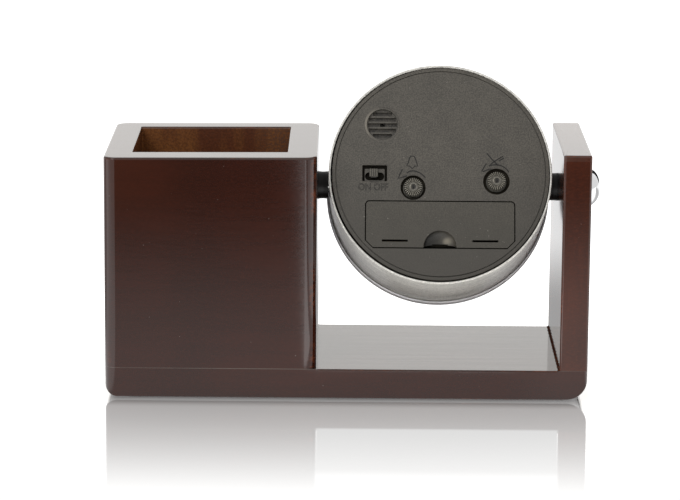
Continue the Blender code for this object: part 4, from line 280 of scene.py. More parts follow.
def lettering(words, height, thickness, tube=0.0):
    """Raised letters in the plain built-in face, or with a tube radius their outlines as round lines."""
    curve = bpy.data.curves.new("letters", "FONT")
    if tube:
        curve.fill_mode = "NONE"
        curve.bevel_depth = tube
        curve.resolution_u = 4
    curve.body = words
    curve.size = height
    curve.align_x = "CENTER"
    curve.align_y = "CENTER"
    curve.extrude = thickness / 2
    return from_curve(curve, STAND)


def strip(path, width, closed=False):
    """Outline of a line of even width: the path plus and minus half the width along its normal, with
    half-round ends."""
    path = np.asarray(path, float)
    if closed:
        along = np.roll(path, -1, 0) - np.roll(path, 1, 0)
    else:
        along = np.gradient(path, axis=0)
    along /= np.linalg.norm(along, axis=1, keepdims=True)
    normal = np.stack([-along[:, 1], along[:, 0]], 1) * width / 2
    if closed:
        return [path + normal, path - normal]
    angle = np.linspace(0, math.pi, 7)[1:-1, None]
    cap_end = path[-1] + normal[-1] * np.cos(angle) + along[-1] * width / 2 * np.sin(angle)
    cap_start = path[0] - normal[0] * np.cos(angle) - along[0] * width / 2 * np.sin(angle)
    return [np.concatenate([path + normal, cap_end, (path - normal)[::-1], cap_start])]


def bow(points, steps=16):
    """Smooth path through a few points: each coordinate as a cubic polynomial of the distance."""
    points = np.asarray(points, float)
    distance = np.concatenate([[0], np.cumsum(np.linalg.norm(np.diff(points, axis=0), axis=1))])
    degree = min(3, len(points) - 1)
    at = np.linspace(0, distance[-1], steps)
    return np.stack([np.polyval(np.polyfit(distance, column, degree), at) for column in points.T], 1)


def finish(name, shells, look, body, slot, *replaced, place=None, sharp=35.0):
    """Mesh object from shells in millimetres, riding on a body, with its place in its mesh: the stand's
    axes or else the clock's, unless a place is given."""
    if place is None:
        place = STAND if body == "stand" else CLOCK
    shell = joined(shells).placed(place)
    mesh = bpy.data.meshes.new(name)
    mesh.vertices.add(len(shell.points))
    mesh.vertices.foreach_set("co", (shell.points * MM).ravel())
    mesh.loops.add(len(shell.corners))
    mesh.loops.foreach_set("vertex_index", shell.corners)
    mesh.polygons.add(len(shell.counts))
    mesh.polygons.foreach_set("loop_start", np.cumsum(shell.counts) - shell.counts)
    mesh.update(calc_edges=True)
    # Per-point value: rubbed edges on wood, painted shade where positive and a painted highlight where
    # negative on moulded plastic.
    mesh.attributes.new("wear", "FLOAT", "POINT").data.foreach_set("value", shell.wear)
    mesh.materials.append(look)
    mesh.shade_smooth()
    mesh.set_sharp_from_angle(angle=math.radians(sharp))
    piece = linked(name, mesh)
    piece.modifiers.new("flat faces stay flat", "WEIGHTED_NORMAL").keep_sharp = True
    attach(piece, body)
    if replaced:
        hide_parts(*replaced)


# Looks: shader maths as expressions

def paint(red, green, blue, shade=1.0):
    """Colour from the 0 to 255 values of a colour chart, times a shade, turned to linear light."""
    channels = np.minimum(np.array([red, green, blue]) * shade, 255) / 255
    linear = np.where(channels <= 0.04045, channels / 12.92, ((channels + 0.055) / 1.055) ** 2.4)
    return (*linear.tolist(), 1.0)


def operator(kind, flipped=False):
    """Operator of a wire that adds a Math node, with its two values swapped if flipped."""
    def apply(wire, other):
        return wire.math(kind, other, wire) if flipped else wire.math(kind, wire, other)
    return apply


class Wire:
    """A socket whose arithmetic adds Math nodes to its look."""

    def __init__(self, look, socket):
        self.look = look
        self.socket = socket

    def math(self, kind, *values):
        return self.look.node("Math", dict(enumerate(values)), {"operation": kind})

    __add__ = __radd__ = operator("ADD")
    __sub__ = operator("SUBTRACT")
    __rsub__ = operator("SUBTRACT", True)
    __mul__ = __rmul__ = operator("MULTIPLY")
    __truediv__ = operator("DIVIDE")
    __pow__ = operator("POWER")

    def band(self, low, high):
        """0 below low, 1 above high, smooth between them."""
        return self.look.node("MapRange", {"Value": self, "From Min": low, "From Max": high},
                              {"interpolation_type": "SMOOTHSTEP"})

    def fades(self, low, high):
        """1 below low, 0 above high, smooth between them."""
        return (0 - self).band(-high, -low)


class Look:
    """A material or a world under construction, with one method that adds any node."""

    def __init__(self, name, world=None):
        self.material = world or bpy.data.materials.new(name)
        self.material.use_nodes = True
        self.tree = self.material.node_tree
        self.tree.nodes.clear()

    def node(self, kind, sockets=None, settings=None, out=0):
        """Adds a node: its settings first, then its sockets' values or links. Returns one output."""
        made = self.tree.nodes.new("ShaderNode" + kind)
        for key, value in (settings or {}).items():
            setattr(made, key, value)
        for key, value in (sockets or {}).items():
            if isinstance(value, Wire):
                self.tree.links.new(value.socket, made.inputs[key])
            else:
                made.inputs[key].default_value = value
        return Wire(self, made.outputs[out]) if made.outputs else None

    def place(self, matrix=STAND):
        """Object coordinates in millimetres, in the axes of the stand, or of the clock as it rests."""
        at = self.node("TexCoord", out=3)
        if matrix is CLOCK:
            at = self.node("Mapping", {"Vector": at, "Location": (CLOCK_X * MM, 0, CLOCK_Z * MM),
                                       "Rotation": (TILT, 0, 0)}, {"vector_type": "TEXTURE"})
        return self.stretch(at, (1 / MM, 1 / MM, 1 / MM))

    def stretch(self, at, factors):
        return self.node("VectorMath", {0: at, 1: factors}, {"operation": "MULTIPLY"})

    def parts(self, at):
        """The X, Y and Z of a vector."""
        return [Wire(self, output) for output in self.node("SeparateXYZ", {0: at}).socket.node.outputs]

    def vector(self, x, y, z):
        return self.node("CombineXYZ", {0: x, 1: y, 2: z})

    def noise(self, at, scale, detail=2.0, roughness=0.5):
        """Noise with one scale, or with one for each axis."""
        if isinstance(scale, tuple):
            at, scale = self.stretch(at, scale), 1.0
        return self.node("TexNoise", {"Vector": at, "Scale": scale, "Detail": detail, "Roughness": roughness})

    def mix(self, share, first, second):
        """Colour between two colours."""
        return self.node("Mix", {0: share, 6: first, 7: second}, {"data_type": "RGBA"}, 2)

    def bump(self, height, distance):
        """Normal from a height from 0 to 1, times a distance in millimetres."""
        return self.node("Bump", {"Height": height, "Distance": distance * MM, "Strength": 1.0})

    # Per-point value of rubbed edges on wood, and of painted shade and painted highlights on moulded plastic.
    def wear(self):
        return self.node("Attribute", None, {"attribute_name": "wear"}, 2)

    def ray(self, kind):
        """1 for rays of one kind of the Light Path node, 0 for others."""
        return Wire(self, self.node("LightPath").socket.node.outputs[kind])

    def light(self, strength):
        return self.node("Emission", {"Color": (1, 1, 1, 1), "Strength": strength})

    def blend(self, share, first, second):
        """Shader between two shaders."""
        return self.node("MixShader", {0: share, 1: first, 2: second})

    def done(self, **sockets):
        """Connects a Principled shader with these sockets and returns the material."""
        values = {key.replace("_", " "): value for key, value in sockets.items()}
        self.surface(self.node("BsdfPrincipled", values))
        return self.material

    def surface(self, shader):
        self.node("OutputMaterial", {"Surface": shader})


# Finishes

def lacquered_wood(name, grain, seed, dark, light):
    """Dark stained wood under gloss lacquer: clouds of stain, faint stretched grain, a fine ripple, specks
    and streaks of dust, and orange edges where it is rubbed. The pen box is bare wood inside."""
    look = Look(name)
    at = look.place()
    x, y, z = look.parts(at)
    shifted = look.node("VectorMath", {0: at, 1: (seed, seed, seed)}, {"operation": "ADD"})
    fibre = look.noise(shifted, tuple(0.03 if axis == grain else 0.35 for axis in "xyz"), 5.0, 0.6)
    mottle = look.noise(shifted, (0.5, 0.5, 1.2), 5.0, 0.75)
    cloud = look.noise(shifted, 0.022)
    warm = x.band(40.0, 110.0) * z.band(40.0, 100.0) * 0.3
    colour = look.mix(cloud.band(0.3, 0.7), paint(*dark), paint(*light))
    colour = look.mix(fibre.band(0.4, 0.7) * 0.3, colour, paint(*dark, shade=0.72))
    colour = look.mix(mottle.band(0.45, 0.65) * 0.3, colour, paint(*light, shade=1.25))
    colour = look.mix(warm, colour, paint(80, 38, 19))
    in_box = x.band(24.0, 24.5) * x.fades(86.5, 87.0) * y.band(-29.3, -28.8) * y.fades(26.2, 26.7)
    grit = look.noise(at, 1.1, 3.0, 0.7)
    patch = look.noise(shifted, (0.09, 0.09, 0.02))
    boards = look.mix(patch.band(0.4, 0.62), paint(132, 78, 52), paint(178, 116, 66))
    boards = look.mix(grit.band(0.4, 0.6) * 0.5, boards, paint(78, 50, 38))
    boards = look.mix(x.fades(26.0, 44.0) * grit.band(0.3, 0.7), boards, paint(128, 98, 82))
    colour = look.mix(in_box, colour, boards)
    tops = 1.5 * z.band(12.7, 12.85) * z.fades(12.95, 13.1) + 0.75 * z.band(99.2, 99.4)
    streaks = look.noise(at, (0.012, 0.4, 0.0), 4.0, 0.65)
    colour = look.mix(tops * streaks.band(0.35, 0.65) * 0.3, colour, paint(128, 122, 114))
    rubbed = (look.wear().band(0.6, 1.0) * look.noise(at, 0.5, 4.0, 0.65).band(0.42, 0.62)
              * look.noise(shifted, 0.045, 1.0).band(0.46, 0.6))
    colour = look.mix(rubbed * 0.6, colour, paint(124, 62, 32))
    specks = look.noise(at, 0.9, 1.0).band(0.78, 0.81)
    colour = look.mix(specks * 0.4, colour, paint(146, 132, 124))
    ripple = look.noise(shifted, (0.12, 0.12, 0.5), 3.0) + 0.3 * mottle
    roughness = 0.05 + 0.05 * mottle + 0.2 * rubbed + 0.3 * specks + 0.3 * in_box
    return look.done(Base_Color=colour, Roughness=roughness, IOR=1.5, Normal=look.bump(ripple, 0.012))


def brushed(name, colour, streak, roughness, shades, metallic, coat):
    """Brushed metal under lacquer: noise that changes fast along the axis or radius and slowly round it,
    and fine grit."""
    look = Look(name)
    at = look.place(CLOCK)
    x, y, z = look.parts(at)
    radius = x.math("SQRT", x * x + y * y)
    fine = look.noise(look.vector(x / radius * 24, y / radius * 24, (z + radius) * streak), 1.0, 4.0, 0.7)
    wide = look.noise(look.vector(x / radius * 2, y / radius * 2, (z + radius) * 0.4), 1.0)
    tone = fine * 0.4 + wide * 0.2 + look.noise(at, 1.5, 2.0, 0.7) * 0.4
    return look.done(Base_Color=look.mix(tone.band(0.34, 0.66), paint(*colour, shade=shades), paint(*colour)),
                     Metallic=metallic, Roughness=roughness + 0.16 * fine, Coat_Weight=coat,
                     Coat_Roughness=0.12, IOR=1.3, Normal=look.bump(fine, 0.014))


def moulded(name, colour, roughness, grain=0.03, size=2.2, place=CLOCK, speckle=0.12, painted_low_shade=0.0, ior=1.46):
    """Moulded plastic with a sandy skin, specks of dust and painted shade that darkens the tone toward six
    o'clock. The per-point value paints shade toward near black, and a paler painted highlight where it is
    negative."""
    look = Look(name)
    at = look.place(place)
    sand = look.noise(at, size, 3.0, 0.6)
    cloud = look.noise(at, 0.12)
    tone = look.mix((sand * 0.85 + cloud * 0.15).band(0.35, 0.65), paint(*colour, shade=1 - speckle),
                    paint(*colour, shade=1 + speckle))
    # Painted shade: the tone darkens toward six o'clock.
    if painted_low_shade:
        tone = look.mix(look.parts(at)[1].fades(-36.0, 8.0) * painted_low_shade, tone, paint(*colour, shade=0.8))
    tone = look.mix(look.noise(at, 1.1, 1.0).band(0.76, 0.8) * 0.35, tone, paint(168, 164, 154))
    wear = look.wear()
    # Painted highlight where the per-point value is negative, painted shade toward near black where it is
    # positive.
    tone = look.mix(wear.fades(-1.0, 0.0), tone, paint(*colour, shade=1.9))
    return look.done(Base_Color=look.mix(wear * 0.97, tone, paint(12, 11, 9)),
                     Roughness=roughness + 0.15 * (sand - 0.5), IOR=ior, Normal=look.bump(sand, grain))


def metal(name, colour, roughness, place=CLOCK, size=0.6):
    """Plain metal with faint scratches and cloudy tone."""
    look = Look(name)
    at = look.place(place)
    scratches = look.noise(look.stretch(at, (0.3, 3.0, 3.0)), size * 3, 3.0, 0.7)
    cloud = look.noise(at, size * 0.2)
    return look.done(Base_Color=look.mix(cloud.band(0.35, 0.65), paint(*colour, shade=0.86), paint(*colour)),
                     Metallic=1.0, Roughness=roughness + 0.12 * scratches,
                     Normal=look.bump(scratches, 0.004))


def painted(name, colour, roughness, place=CLOCK):
    """Paint with a little orange peel and dust."""
    look = Look(name)
    at = look.place(place)
    peel = look.noise(at, 0.9)
    dust = look.noise(at, 3.0, 1.0).band(0.76, 0.82)
    faded = tuple(min(255, c * 0.94 + 6) for c in colour)
    tone = look.mix(peel.band(0.3, 0.7), paint(*colour), paint(*faded))
    return look.done(Base_Color=look.mix(dust * 0.3, tone, paint(170, 165, 158)),
                     Roughness=roughness + 0.1 * peel, Normal=look.bump(peel, 0.01))


def clear_glass():
    """Clear lens: nearly see-through in front, a mirror at a glancing view, by Fresnel."""
    look = Look("clear_lens")
    smear = look.noise(look.place(CLOCK), 0.08)
    edge = look.node("Fresnel", {"IOR": 1.5})
    return look.done(Base_Color=paint(236, 242, 242), Roughness=0.02 + 0.05 * smear.band(0.5, 0.8),
                     Alpha=0.06 + 0.9 * edge, Metallic=0.0, IOR=1.5)


def felt_cloth():
    """Pressed felt: short fibres as fine stretched noises in two directions."""
    look = Look("felt")
    at = look.place()
    fibre = look.noise(at, (4.0, 0.7, 1.0), 3.0) * look.noise(at, (0.7, 4.0, 1.0), 3.0)
    return look.done(Base_Color=look.mix(fibre.band(0.15, 0.4), paint(18, 18, 20), paint(46, 45, 48)),
                     Roughness=0.95, Sheen_Weight=0.4, Normal=look.bump(fibre, 0.3))


def wound_copper():
    """Copper wire in even turns: a sine along the coil's length."""
    look = Look("copper_winding")
    x = look.parts(look.place(CLOCK))[0]
    turns = x.math("SINE", x * 22.0) * 0.5 + 0.5
    return look.done(Base_Color=look.mix(turns, paint(120, 52, 26), paint(208, 112, 66)), Metallic=1.0,
                     Roughness=0.3, Normal=look.bump(turns, 0.06))


def battery_wrap():
    """Printed film round the cell: two plain colours with a sharp seam, scuffs and bare steel ends."""
    look = Look("battery_jacket")
    at = look.place(CLOCK)
    x = look.parts(at)[0]
    scuff = look.noise(at, (0.2, 2.0, 2.0), 3.0)
    bare = 1 - x.band(-24.4, -24.2) + x.band(24.2, 24.4)
    colour = look.mix(x.band(9.0, 9.3), paint(32, 34, 38), paint(176, 122, 62))
    colour = look.mix(scuff.band(0.6, 0.8) * 0.3, colour, paint(120, 118, 114))
    return look.done(Base_Color=look.mix(bare, colour, paint(186, 186, 184)), Metallic=bare,
                     Roughness=0.3 + 0.15 * scuff, Normal=look.bump(scuff, 0.01))


def raw_beech():
    """Unfinished beech: pale wood with short dark flecks along the dowel."""
    look = Look("beech")
    at = look.place()
    fleck = look.noise(at, (2.0, 2.0, 0.3)).band(0.6, 0.7)
    ring = look.noise(at, (1.0, 1.0, 0.05))
    colour = look.mix(ring.band(0.3, 0.7), paint(196, 158, 114), paint(220, 186, 140))
    return look.done(Base_Color=look.mix(fleck * 0.5, colour, paint(150, 108, 70)), Roughness=0.6,
                     Normal=look.bump(ring, 0.05))


BOX_WOOD = lacquered_wood("stand_wood", "x", 3.0, (45, 18, 9), (55, 22, 11))
UPRIGHT_WOOD = lacquered_wood("upright_wood", "z", 11.0, (60, 26, 12), (77, 34, 17))
CASE_METAL = brushed("case_metal", (253, 250, 242), 1.6, 0.34, 0.74, 0.12, 0.4)
BEZEL_METAL = brushed("bezel_metal", (254, 253, 255), 4.0, 0.4, 0.97, 0.0, 0.1)
# The cover and the door darken toward six o'clock with painted shade.
COVER = moulded("cover_plastic", (82, 78, 71), 0.48, 0.09, 2.0, speckle=0.18, painted_low_shade=0.8)
# Dark plastic whose colour paints the shade of the cover's moulded marks.
COVER_DARK = moulded("cover_lines", (26, 24, 21), 0.6, 0.03, 2.0)
GLUE = moulded("glue_line", (66, 38, 26), 0.85, 0.1, 1.0, STAND, speckle=0.4, ior=1.06)
# Dark plastic that paints the shade in the cover's deep places and in the window's slot.
PAINTED_SHADE_PLASTIC = moulded("cover_recess_painted_shade", (31, 29, 25), 0.8, 0.03, 2.0, ior=1.08)
DOOR = moulded("door_plastic", (79, 75, 67), 0.48, 0.09, 2.0, speckle=0.18, painted_low_shade=0.8)
KNOB = moulded("knob_plastic", (124, 120, 110), 0.42, 0.03, 2.6)
SLIDER = moulded("slider_plastic", (104, 100, 91), 0.45, 0.02, 2.6)
BUSH = moulded("bush_plastic", (30, 27, 25), 0.36, 0.02, 1.4, STAND, ior=1.3)
CHROME = metal("chrome", (252, 252, 253), 0.03, STAND, 0.3)
NODE_LOOKS = {"beech": raw_beech(), "felt": felt_cloth(), "black_plastic": BUSH, "cover_plastic": COVER,
              "knob_plastic": KNOB, "battery_jacket": battery_wrap(), "copper_winding": wound_copper(),
              "sounder": moulded("sounder_plastic", (64, 60, 54), 0.5, 0.06, 1.4, speckle=0.4)}
for slot_name, rgb, matt, skin_depth, skin_size, speckled in (
        ("fibre", (120, 70, 50), 0.7, 0.05, 1.5, 0.12),
        ("board_laminate", (38, 92, 60), 0.45, 0.02, 1.2, 0.12),
        ("movement_plastic", (222, 220, 212), 0.45, 0.02, 1.4, 0.03),
        ("yellow_plastic", (214, 176, 70), 0.45, 0.02, 1.4, 0.04),
        ("orange_plastic", (206, 104, 48), 0.45, 0.02, 1.4, 0.04)):
    NODE_LOOKS[slot_name] = moulded(slot_name, rgb, matt, skin_depth, skin_size, CLOCK, speckled)
for slot_name, rgb, matt in (("steel", (196, 196, 192), 0.22), ("brass", (214, 178, 104), 0.2),
                             ("magnet", (96, 96, 100), 0.4)):
    NODE_LOOKS[slot_name] = metal(slot_name, rgb, matt)


# The stand

STAND_END = 98.0
STAND_SIDE = 39.0
BASE_LOW = 0.8
BASE_TOP = 12.9
BOX_FACE = 12.1
BOX_HIGH = 99.4
BOX_CORNER = 4.8
UPRIGHT_FACE = -86.6
UPRIGHT_HIGH = 101.7
BOX_END_CURVE = 5.0
UPRIGHT_END_CURVE = 8.4
FADE = 1.2


def end_arc(distance, radius):
    """How far a round end falls in: r - sqrt(r^2 - (r - d)^2) at a distance d from the end."""
    inside = np.clip(radius - distance, 0, radius)
    return radius - np.sqrt(np.maximum(radius ** 2 - inside ** 2, 0))


def make_base():
    """Base plank: rounded rectangles along X, narrowed at the ends by round plan corners and raised by
    round lower ends. The top edges are round only where the base is open above."""
    arc = 5
    share = (1 - np.cos(np.linspace(0, TURN / 2, 15))) / 2
    x = np.unique(np.concatenate([
        -STAND_END + UPRIGHT_END_CURVE * ease(15), STAND_END - BOX_END_CURVE * ease(13),
        np.linspace(UPRIGHT_FACE, BOX_FACE, 25), UPRIGHT_FACE + FADE * share, BOX_FACE - FADE * share,
        [-88.0, 40.0, 70.0]]).round(4))
    half_width = STAND_SIDE - end_arc(STAND_END - x, BOX_CORNER) - end_arc(x + STAND_END, 1.5)
    low = BASE_LOW + end_arc(STAND_END - x, BOX_END_CURVE) + end_arc(x + STAND_END, UPRIGHT_END_CURVE)
    open_top = np.clip((x - UPRIGHT_FACE) / FADE, 0, 1) * np.clip((BOX_FACE - x) / FADE, 0, 1)
    low_edge, top_edge = 0.5, 0.02 + 0.6 * np.sqrt(open_top)
    sections = []
    for at, half, under, edge in zip(x, half_width, low, top_edge):
        corners = rectangle((-half, under), (half, BASE_TOP))
        section = outline(corners, [low_edge, low_edge, edge, edge], 0, arc)
        sections.append(np.column_stack([np.full(len(section), at), section]))
    plank = skin(np.array(sections), wear=open_top[:, None] * corner_wear(arc))
    finish("base_plank", [plank], BOX_WOOD, "stand", "lacquered_wood", "base_board", sharp=50)


def make_pen_box():
    """Pen box as one closed loft of rounded rectangles: up the outside, over the round rim and down the
    inside. Its top is a little out of true, as hand-fitted walls are."""
    outside = rectangle((BOX_FACE, -STAND_SIDE), (STAND_END, STAND_SIDE)), BOX_CORNER
    inside = rectangle((24.3, -29), (86.8, 26.4)), 0.5
    lean_x, lean_y, length, arc = 0.6, 0.8, 86, 10
    insets, levels, worn = rounding(0.9, BOX_HIGH, 1, 6)
    rings = [(outside, 0, BASE_TOP, 0), *((outside, *row) for row in zip(insets, levels, worn)),
             *((inside, *row) for row in zip(insets[::-1] * -0.7, levels[::-1], worn[::-1])),
             (inside, 0, BASE_TOP, 0)]
    loft = np.array([at_level(outline(*shape, inset, arc), level) for shape, inset, level, wear in rings])
    x, y = loft[1:-1, :, 0], loft[1:-1, :, 1]
    loft[1:-1, :, 2] += lean_x * (STAND_END - x) / length + lean_y * (STAND_SIDE - y) / (2 * STAND_SIDE)
    rim_wear = np.array([ring[-1] for ring in rings])[:, None]
    outer_wear = corner_wear(arc) * (np.arange(len(rings)) <= len(insets))[:, None]
    finish("pen_box", [skin(loft, True, np.maximum(rim_wear, outer_wear))], BOX_WOOD, "stand",
           "lacquered_wood", "box_rear_wall", "box_front_wall", "box_outer_wall", "box_inner_wall", sharp=40)


def make_upright():
    """Upright board with round edges."""
    low, high = (-STAND_END, -STAND_SIDE), (UPRIGHT_FACE, STAND_SIDE)
    board = block(low, high, 0.9, BASE_TOP, UPRIGHT_HIGH, 0.02, 0.8)
    finish("upright_plank", [board], UPRIGHT_WOOD, "stand", "lacquered_wood", "upright_board", sharp=40)


def make_glue_line():
    """Bead of old glue where the upright meets the base: a bar that thins and swells, its section times
    1 + 0.4 sin 1.9 y sin (0.7 y + 1)."""
    y = np.linspace(-38.6, 38.6, 60)
    swell = (1 + 0.4 * np.sin(y * 1.9) * np.sin(y * 0.7 + 1))[:, None]
    section = np.array([(-0.1, 0), (0.5, 0), (0.6, 0.15), (0.15, 0.55), (-0.1, 0.6)])
    rings = np.stack([UPRIGHT_FACE + section[None, :, 0] * swell, np.repeat(y[:, None], len(section), 1),
                      BASE_TOP - 0.1 + section[None, :, 1] * swell], -1)
    finish("glue_bead", [skin(rings)], GLUE, "stand", "lacquered_wood")


def make_bushes():
    """Black spacers between the wood and the case: turned rings, a little narrower at the waist."""
    low = 45.6
    for name, place, high in (("box", TOWARD_BOX, 49.78), ("upright", TOWARD_UPRIGHT, 48.88)):
        profile = fillet([(5.75, high), (5.6, (low + high) / 2), (5.75, low), (2.8, low), (2.8, high)],
                         [0.05, 0.6, 0.15, 0.02, 0.1])
        finish(f"spacer_{name}", [turned(profile, 96, True)], BUSH, "stand", "black_plastic",
               f"pivot_bush_{name}", place=place)


def make_dome():
    """Chrome dome: a quarter ellipse over a short round rim, closed underneath."""
    angle = np.linspace(0, TURN / 4, 24)[1:-1]
    crown = np.stack([7.9 * np.sin(angle), 0.9 + 5.6 * np.cos(angle)], 1)
    rim = [(7.95, 0.75), (7.98, 0.5), (7.85, 0.15), (7.5, 0.02), (0.02, 0.02)]
    profile = np.concatenate([[(0.02, 6.5)], crown, rim])
    finish("chrome_cap", [turned(profile, 128)], CHROME, "stand", "chrome", "chrome_dome",
           place=TOWARD_UPRIGHT @ moved(0, 0, 60.3))


# The clock's case

COVER_CENTRE = (-0.2, 0.3)
WELLS = {"alarm": ((11.003, -5.631), 5.1), "time": ((-22.799, -2.84), 5.4)}
GRILLE = (23.56, 20.56)
WINDOW = (26.63, 0.06)
WINDOW_HOLE = (5.05, -3.15, 3.6)
DOOR_HALF = 30.15
DOOR_LOW = -30.44
DOOR_HIGH = -11.24
DOOR_GAP = 0.32
SCOOP_HALF = 6.9
SCOOP_HIGH = 7.4


def make_turned_parts():
    """Parts turned on the clock's axis: the brushed tube with a round rear rim, the bezel that wraps it,
    the lens in the bezel, and the sloping ring and the dial behind the lens."""
    plastic = moulded("dial_ring_plastic", (206, 205, 200), 0.4, 0.02, 1.6, speckle=0.04)
    bezel = [(41.6, 21.6), (46.4, 21.6), (46.4, 16.1), (45.7, 16.1), (45.7, 20.3), (41.6, 20.3)]
    slope = [(44.2, 18.2), (44.2, 12.0), (40.6, 12.0), (42.0, 18.2)]
    for name, corners, radii, arc, steps, look, slot, node in (
            ("case_tube", rectangle((44.6, -23.2), (45.4, 20.0)), [0.3, 0.35, 0.1, 0.1], 6, 256,
             CASE_METAL, "brushed_aluminium", "case_drum"),
            ("bezel_ring", bezel, [0.6, 1.1, 0.3, 0.1, 0.1, 0.1], 8, 256,
             BEZEL_METAL, "polished_aluminium", "front_bezel"),
            ("lens_disc", rectangle((0.02, 18.5), (44.2, 20.0)), [0.01, 0.2, 0.2, 0.01], 4, 192,
             clear_glass(), "clear_lens", "lens"),
            ("sloping_ring", slope, [0.2, 0.2, 0.2, 0.3], 4, 192, plastic, "dial_ring_plastic", "dial_ring"),
            ("dial_plate", rectangle((4.1, 11.1), (44.2, 11.7)), 0.1, 4, 192,
             painted("dial_paint", (240, 239, 233), 0.42), "dial_paint", "dial")):
        shell = turned(fillet(corners, radii, arc), steps, name != "lens_disc")
        finish(name, [shell], look, "clock_case", slot, node)


def door_outline(grow, arc=7):
    """The door's outline: two round upper corners and two chamfered lower ones, moved outward by grow."""
    corners = rectangle((-DOOR_HALF, DOOR_LOW), (DOOR_HALF, DOOR_HIGH))
    return outline(corners, [-3.0, -3.0, 1.5, 1.5], -grow, arc)


def make_cover():
    """Moulded rear cover: the pierced panel, the flange with its groove and skirt, the grille and the
    window's frame, and in a dark plastic that paints their shade what lies deep: the knob wells, the
    window's moat and the battery bay."""
    holes = [circle(place, radius) for place, radius in (*WELLS.values(), (GRILLE, 6.4))]
    holes += [outline(window_rectangle(*WINDOW_HOLE), 0.4), door_outline(DOOR_GAP)]
    flange = fillet([(44.15, 0.1), (44.15, 2.0), (43.5, 2.0), (43.5, 33.2), (42.0, 33.2), (42.0, 2.0),
                     (42.1, 2.0), (42.1, 0.6), (42.75, 0.6), (42.75, 0.1)],
                    [0.3, 0.2, 0.1, 0.3, 0.3, 0.05, 0.05, 0.05, 0.05, 0.12])
    shells = [plate([circle(COVER_CENTRE, 42.4, 192)] + holes, 0, 1.2),
              turned(flange, 256, True).placed(moved(*COVER_CENTRE))]
    recesses = []
    for place, radius in WELLS.values():
        cup = fillet([(radius - 0.05, 0.04), (radius - 0.05, 2.4), (1.2, 2.4), (1.2, 3.6),
                      (radius + 0.3, 3.6), (radius + 0.3, 0.04)], [0.12, 0.4, 0.1, 0.1, 0.3, 0.02])
        # Painted light: the wells' painted shade is lifted toward a paler tone.
        recesses.append(turned(cup, 72, True).worn(-0.9).placed(moved(*place)))
    window, moat = window_shells()
    finish("cover_moulding", shells + grille_shells() + window, COVER, "clock_case", "cover_plastic",
           "rear_cover", place=PANEL_FACE)
    # The deep parts in the dark plastic that paints their shade.
    finish("cover_painted_shade", recesses + moat + bay_shells(), PAINTED_SHADE_PLASTIC, "clock_case", "cover_plastic",
           place=PANEL_FACE)


def grille_shells():
    """Sunk disc crossed by five open slots, inside a round wall with painted shade on its inner face and a
    painted highlight on the lit side of its lip.
    """
    half_high, spacing = 0.78, 2.25
    rise = (np.arange(5) - 2) * spacing
    half = np.sqrt(5.95 ** 2 - rise ** 2)
    x, y = GRILLE
    slots = [outline(rectangle((x - reach, y + up - half_high), (x + reach, y + up + half_high)), 0.2, 0, 4)
             for up, reach in zip(rise, half)]
    wall = fillet([(6.34, -0.24), (6.8, -0.24), (7.4, 0.05), (7.4, 6.6), (6.34, 6.6), (6.34, 0.35)],
                  [0.15, 0.2, 0.02, 0.1, 0.1, 0.02])

    def lit_side(radius, level, angle):
        # Painted shade on the wall inside the dish, and a painted highlight on the lip's lit side.
        inner = (level > 0.3) & (radius < 6.6)
        glint = np.clip(np.cos(angle - 0.1), 0, 1) * (level < 0.1) * (radius > 6.4)
        return radius, level, 0.9 * inner - 0.5 * glint

    return [plate([circle(GRILLE, 6.7)] + slots, 1.05, 2.2),
            turned(wall, 72, True, lit_side).placed(moved(*GRILLE))]


def window_rectangle(half_length, low, high):
    """Corners of a rectangle at two heights about the switch window's middle."""
    x, y = WINDOW
    return rectangle((x - half_length, y + low), (x + half_length, y + high))


def window_shells():
    """Switch window: its frame, a floor plate with a round-ended slot and a little painted shade, and two
    plates in the dark plastic that paints shade, which make a deeper moat at the floor's top and sides."""
    slot, floor, under, frame_edge = [outline(window_rectangle(*sides), radius) for radius, *sides in (
        (1.6, 3.9, -2.5, 0.8), (0.3, 4.05, -3.12, 2.25), (0.4, 5.6, -3.7, 4.2), (0.6, 5.4, -3.3, 3.85))]
    hole = outline(window_rectangle(*WINDOW_HOLE), 0.4)
    # A little painted shade on the floor plate; the moat plates take the dark plastic that paints shade.
    return ([plate([frame_edge, hole], -0.13, 0.2), plate([floor, slot], 1.2, 2.0).worn(0.1)],
            [plate([hole, slot], 1.6, 1.9), plate([under, slot], 2.0, 2.4)])


def bay_shells():
    """Ledge that the battery door lies on, with a notch for the thumb scoop, its frame, and the battery's
    tray: up inside, down outside."""
    low, high = (DOOR_LOW + DOOR_HIGH) / 2 + np.array((-7.6, 7.6))
    notch, notch_low = 7.0, DOOR_LOW - 0.1
    opening = rectangle((-28.7, low), (28.7, high))
    notched = [opening[0], (-notch, low), (-notch, notch_low), (notch, notch_low), (notch, low), *opening[1:]]
    tray = [at_level(outline(opening, 0.6, inset), level)
            for inset, level in ((0, 16.4), (0, 2.9), (-1.2, 2.9), (-1.2, 17.6))]
    return [plate([door_outline(1.6), notched], 1.9, 3.1),
            plate([door_outline(1.6), door_outline(DOOR_GAP)], 0.04, 2.2), skin(np.array(tray))]


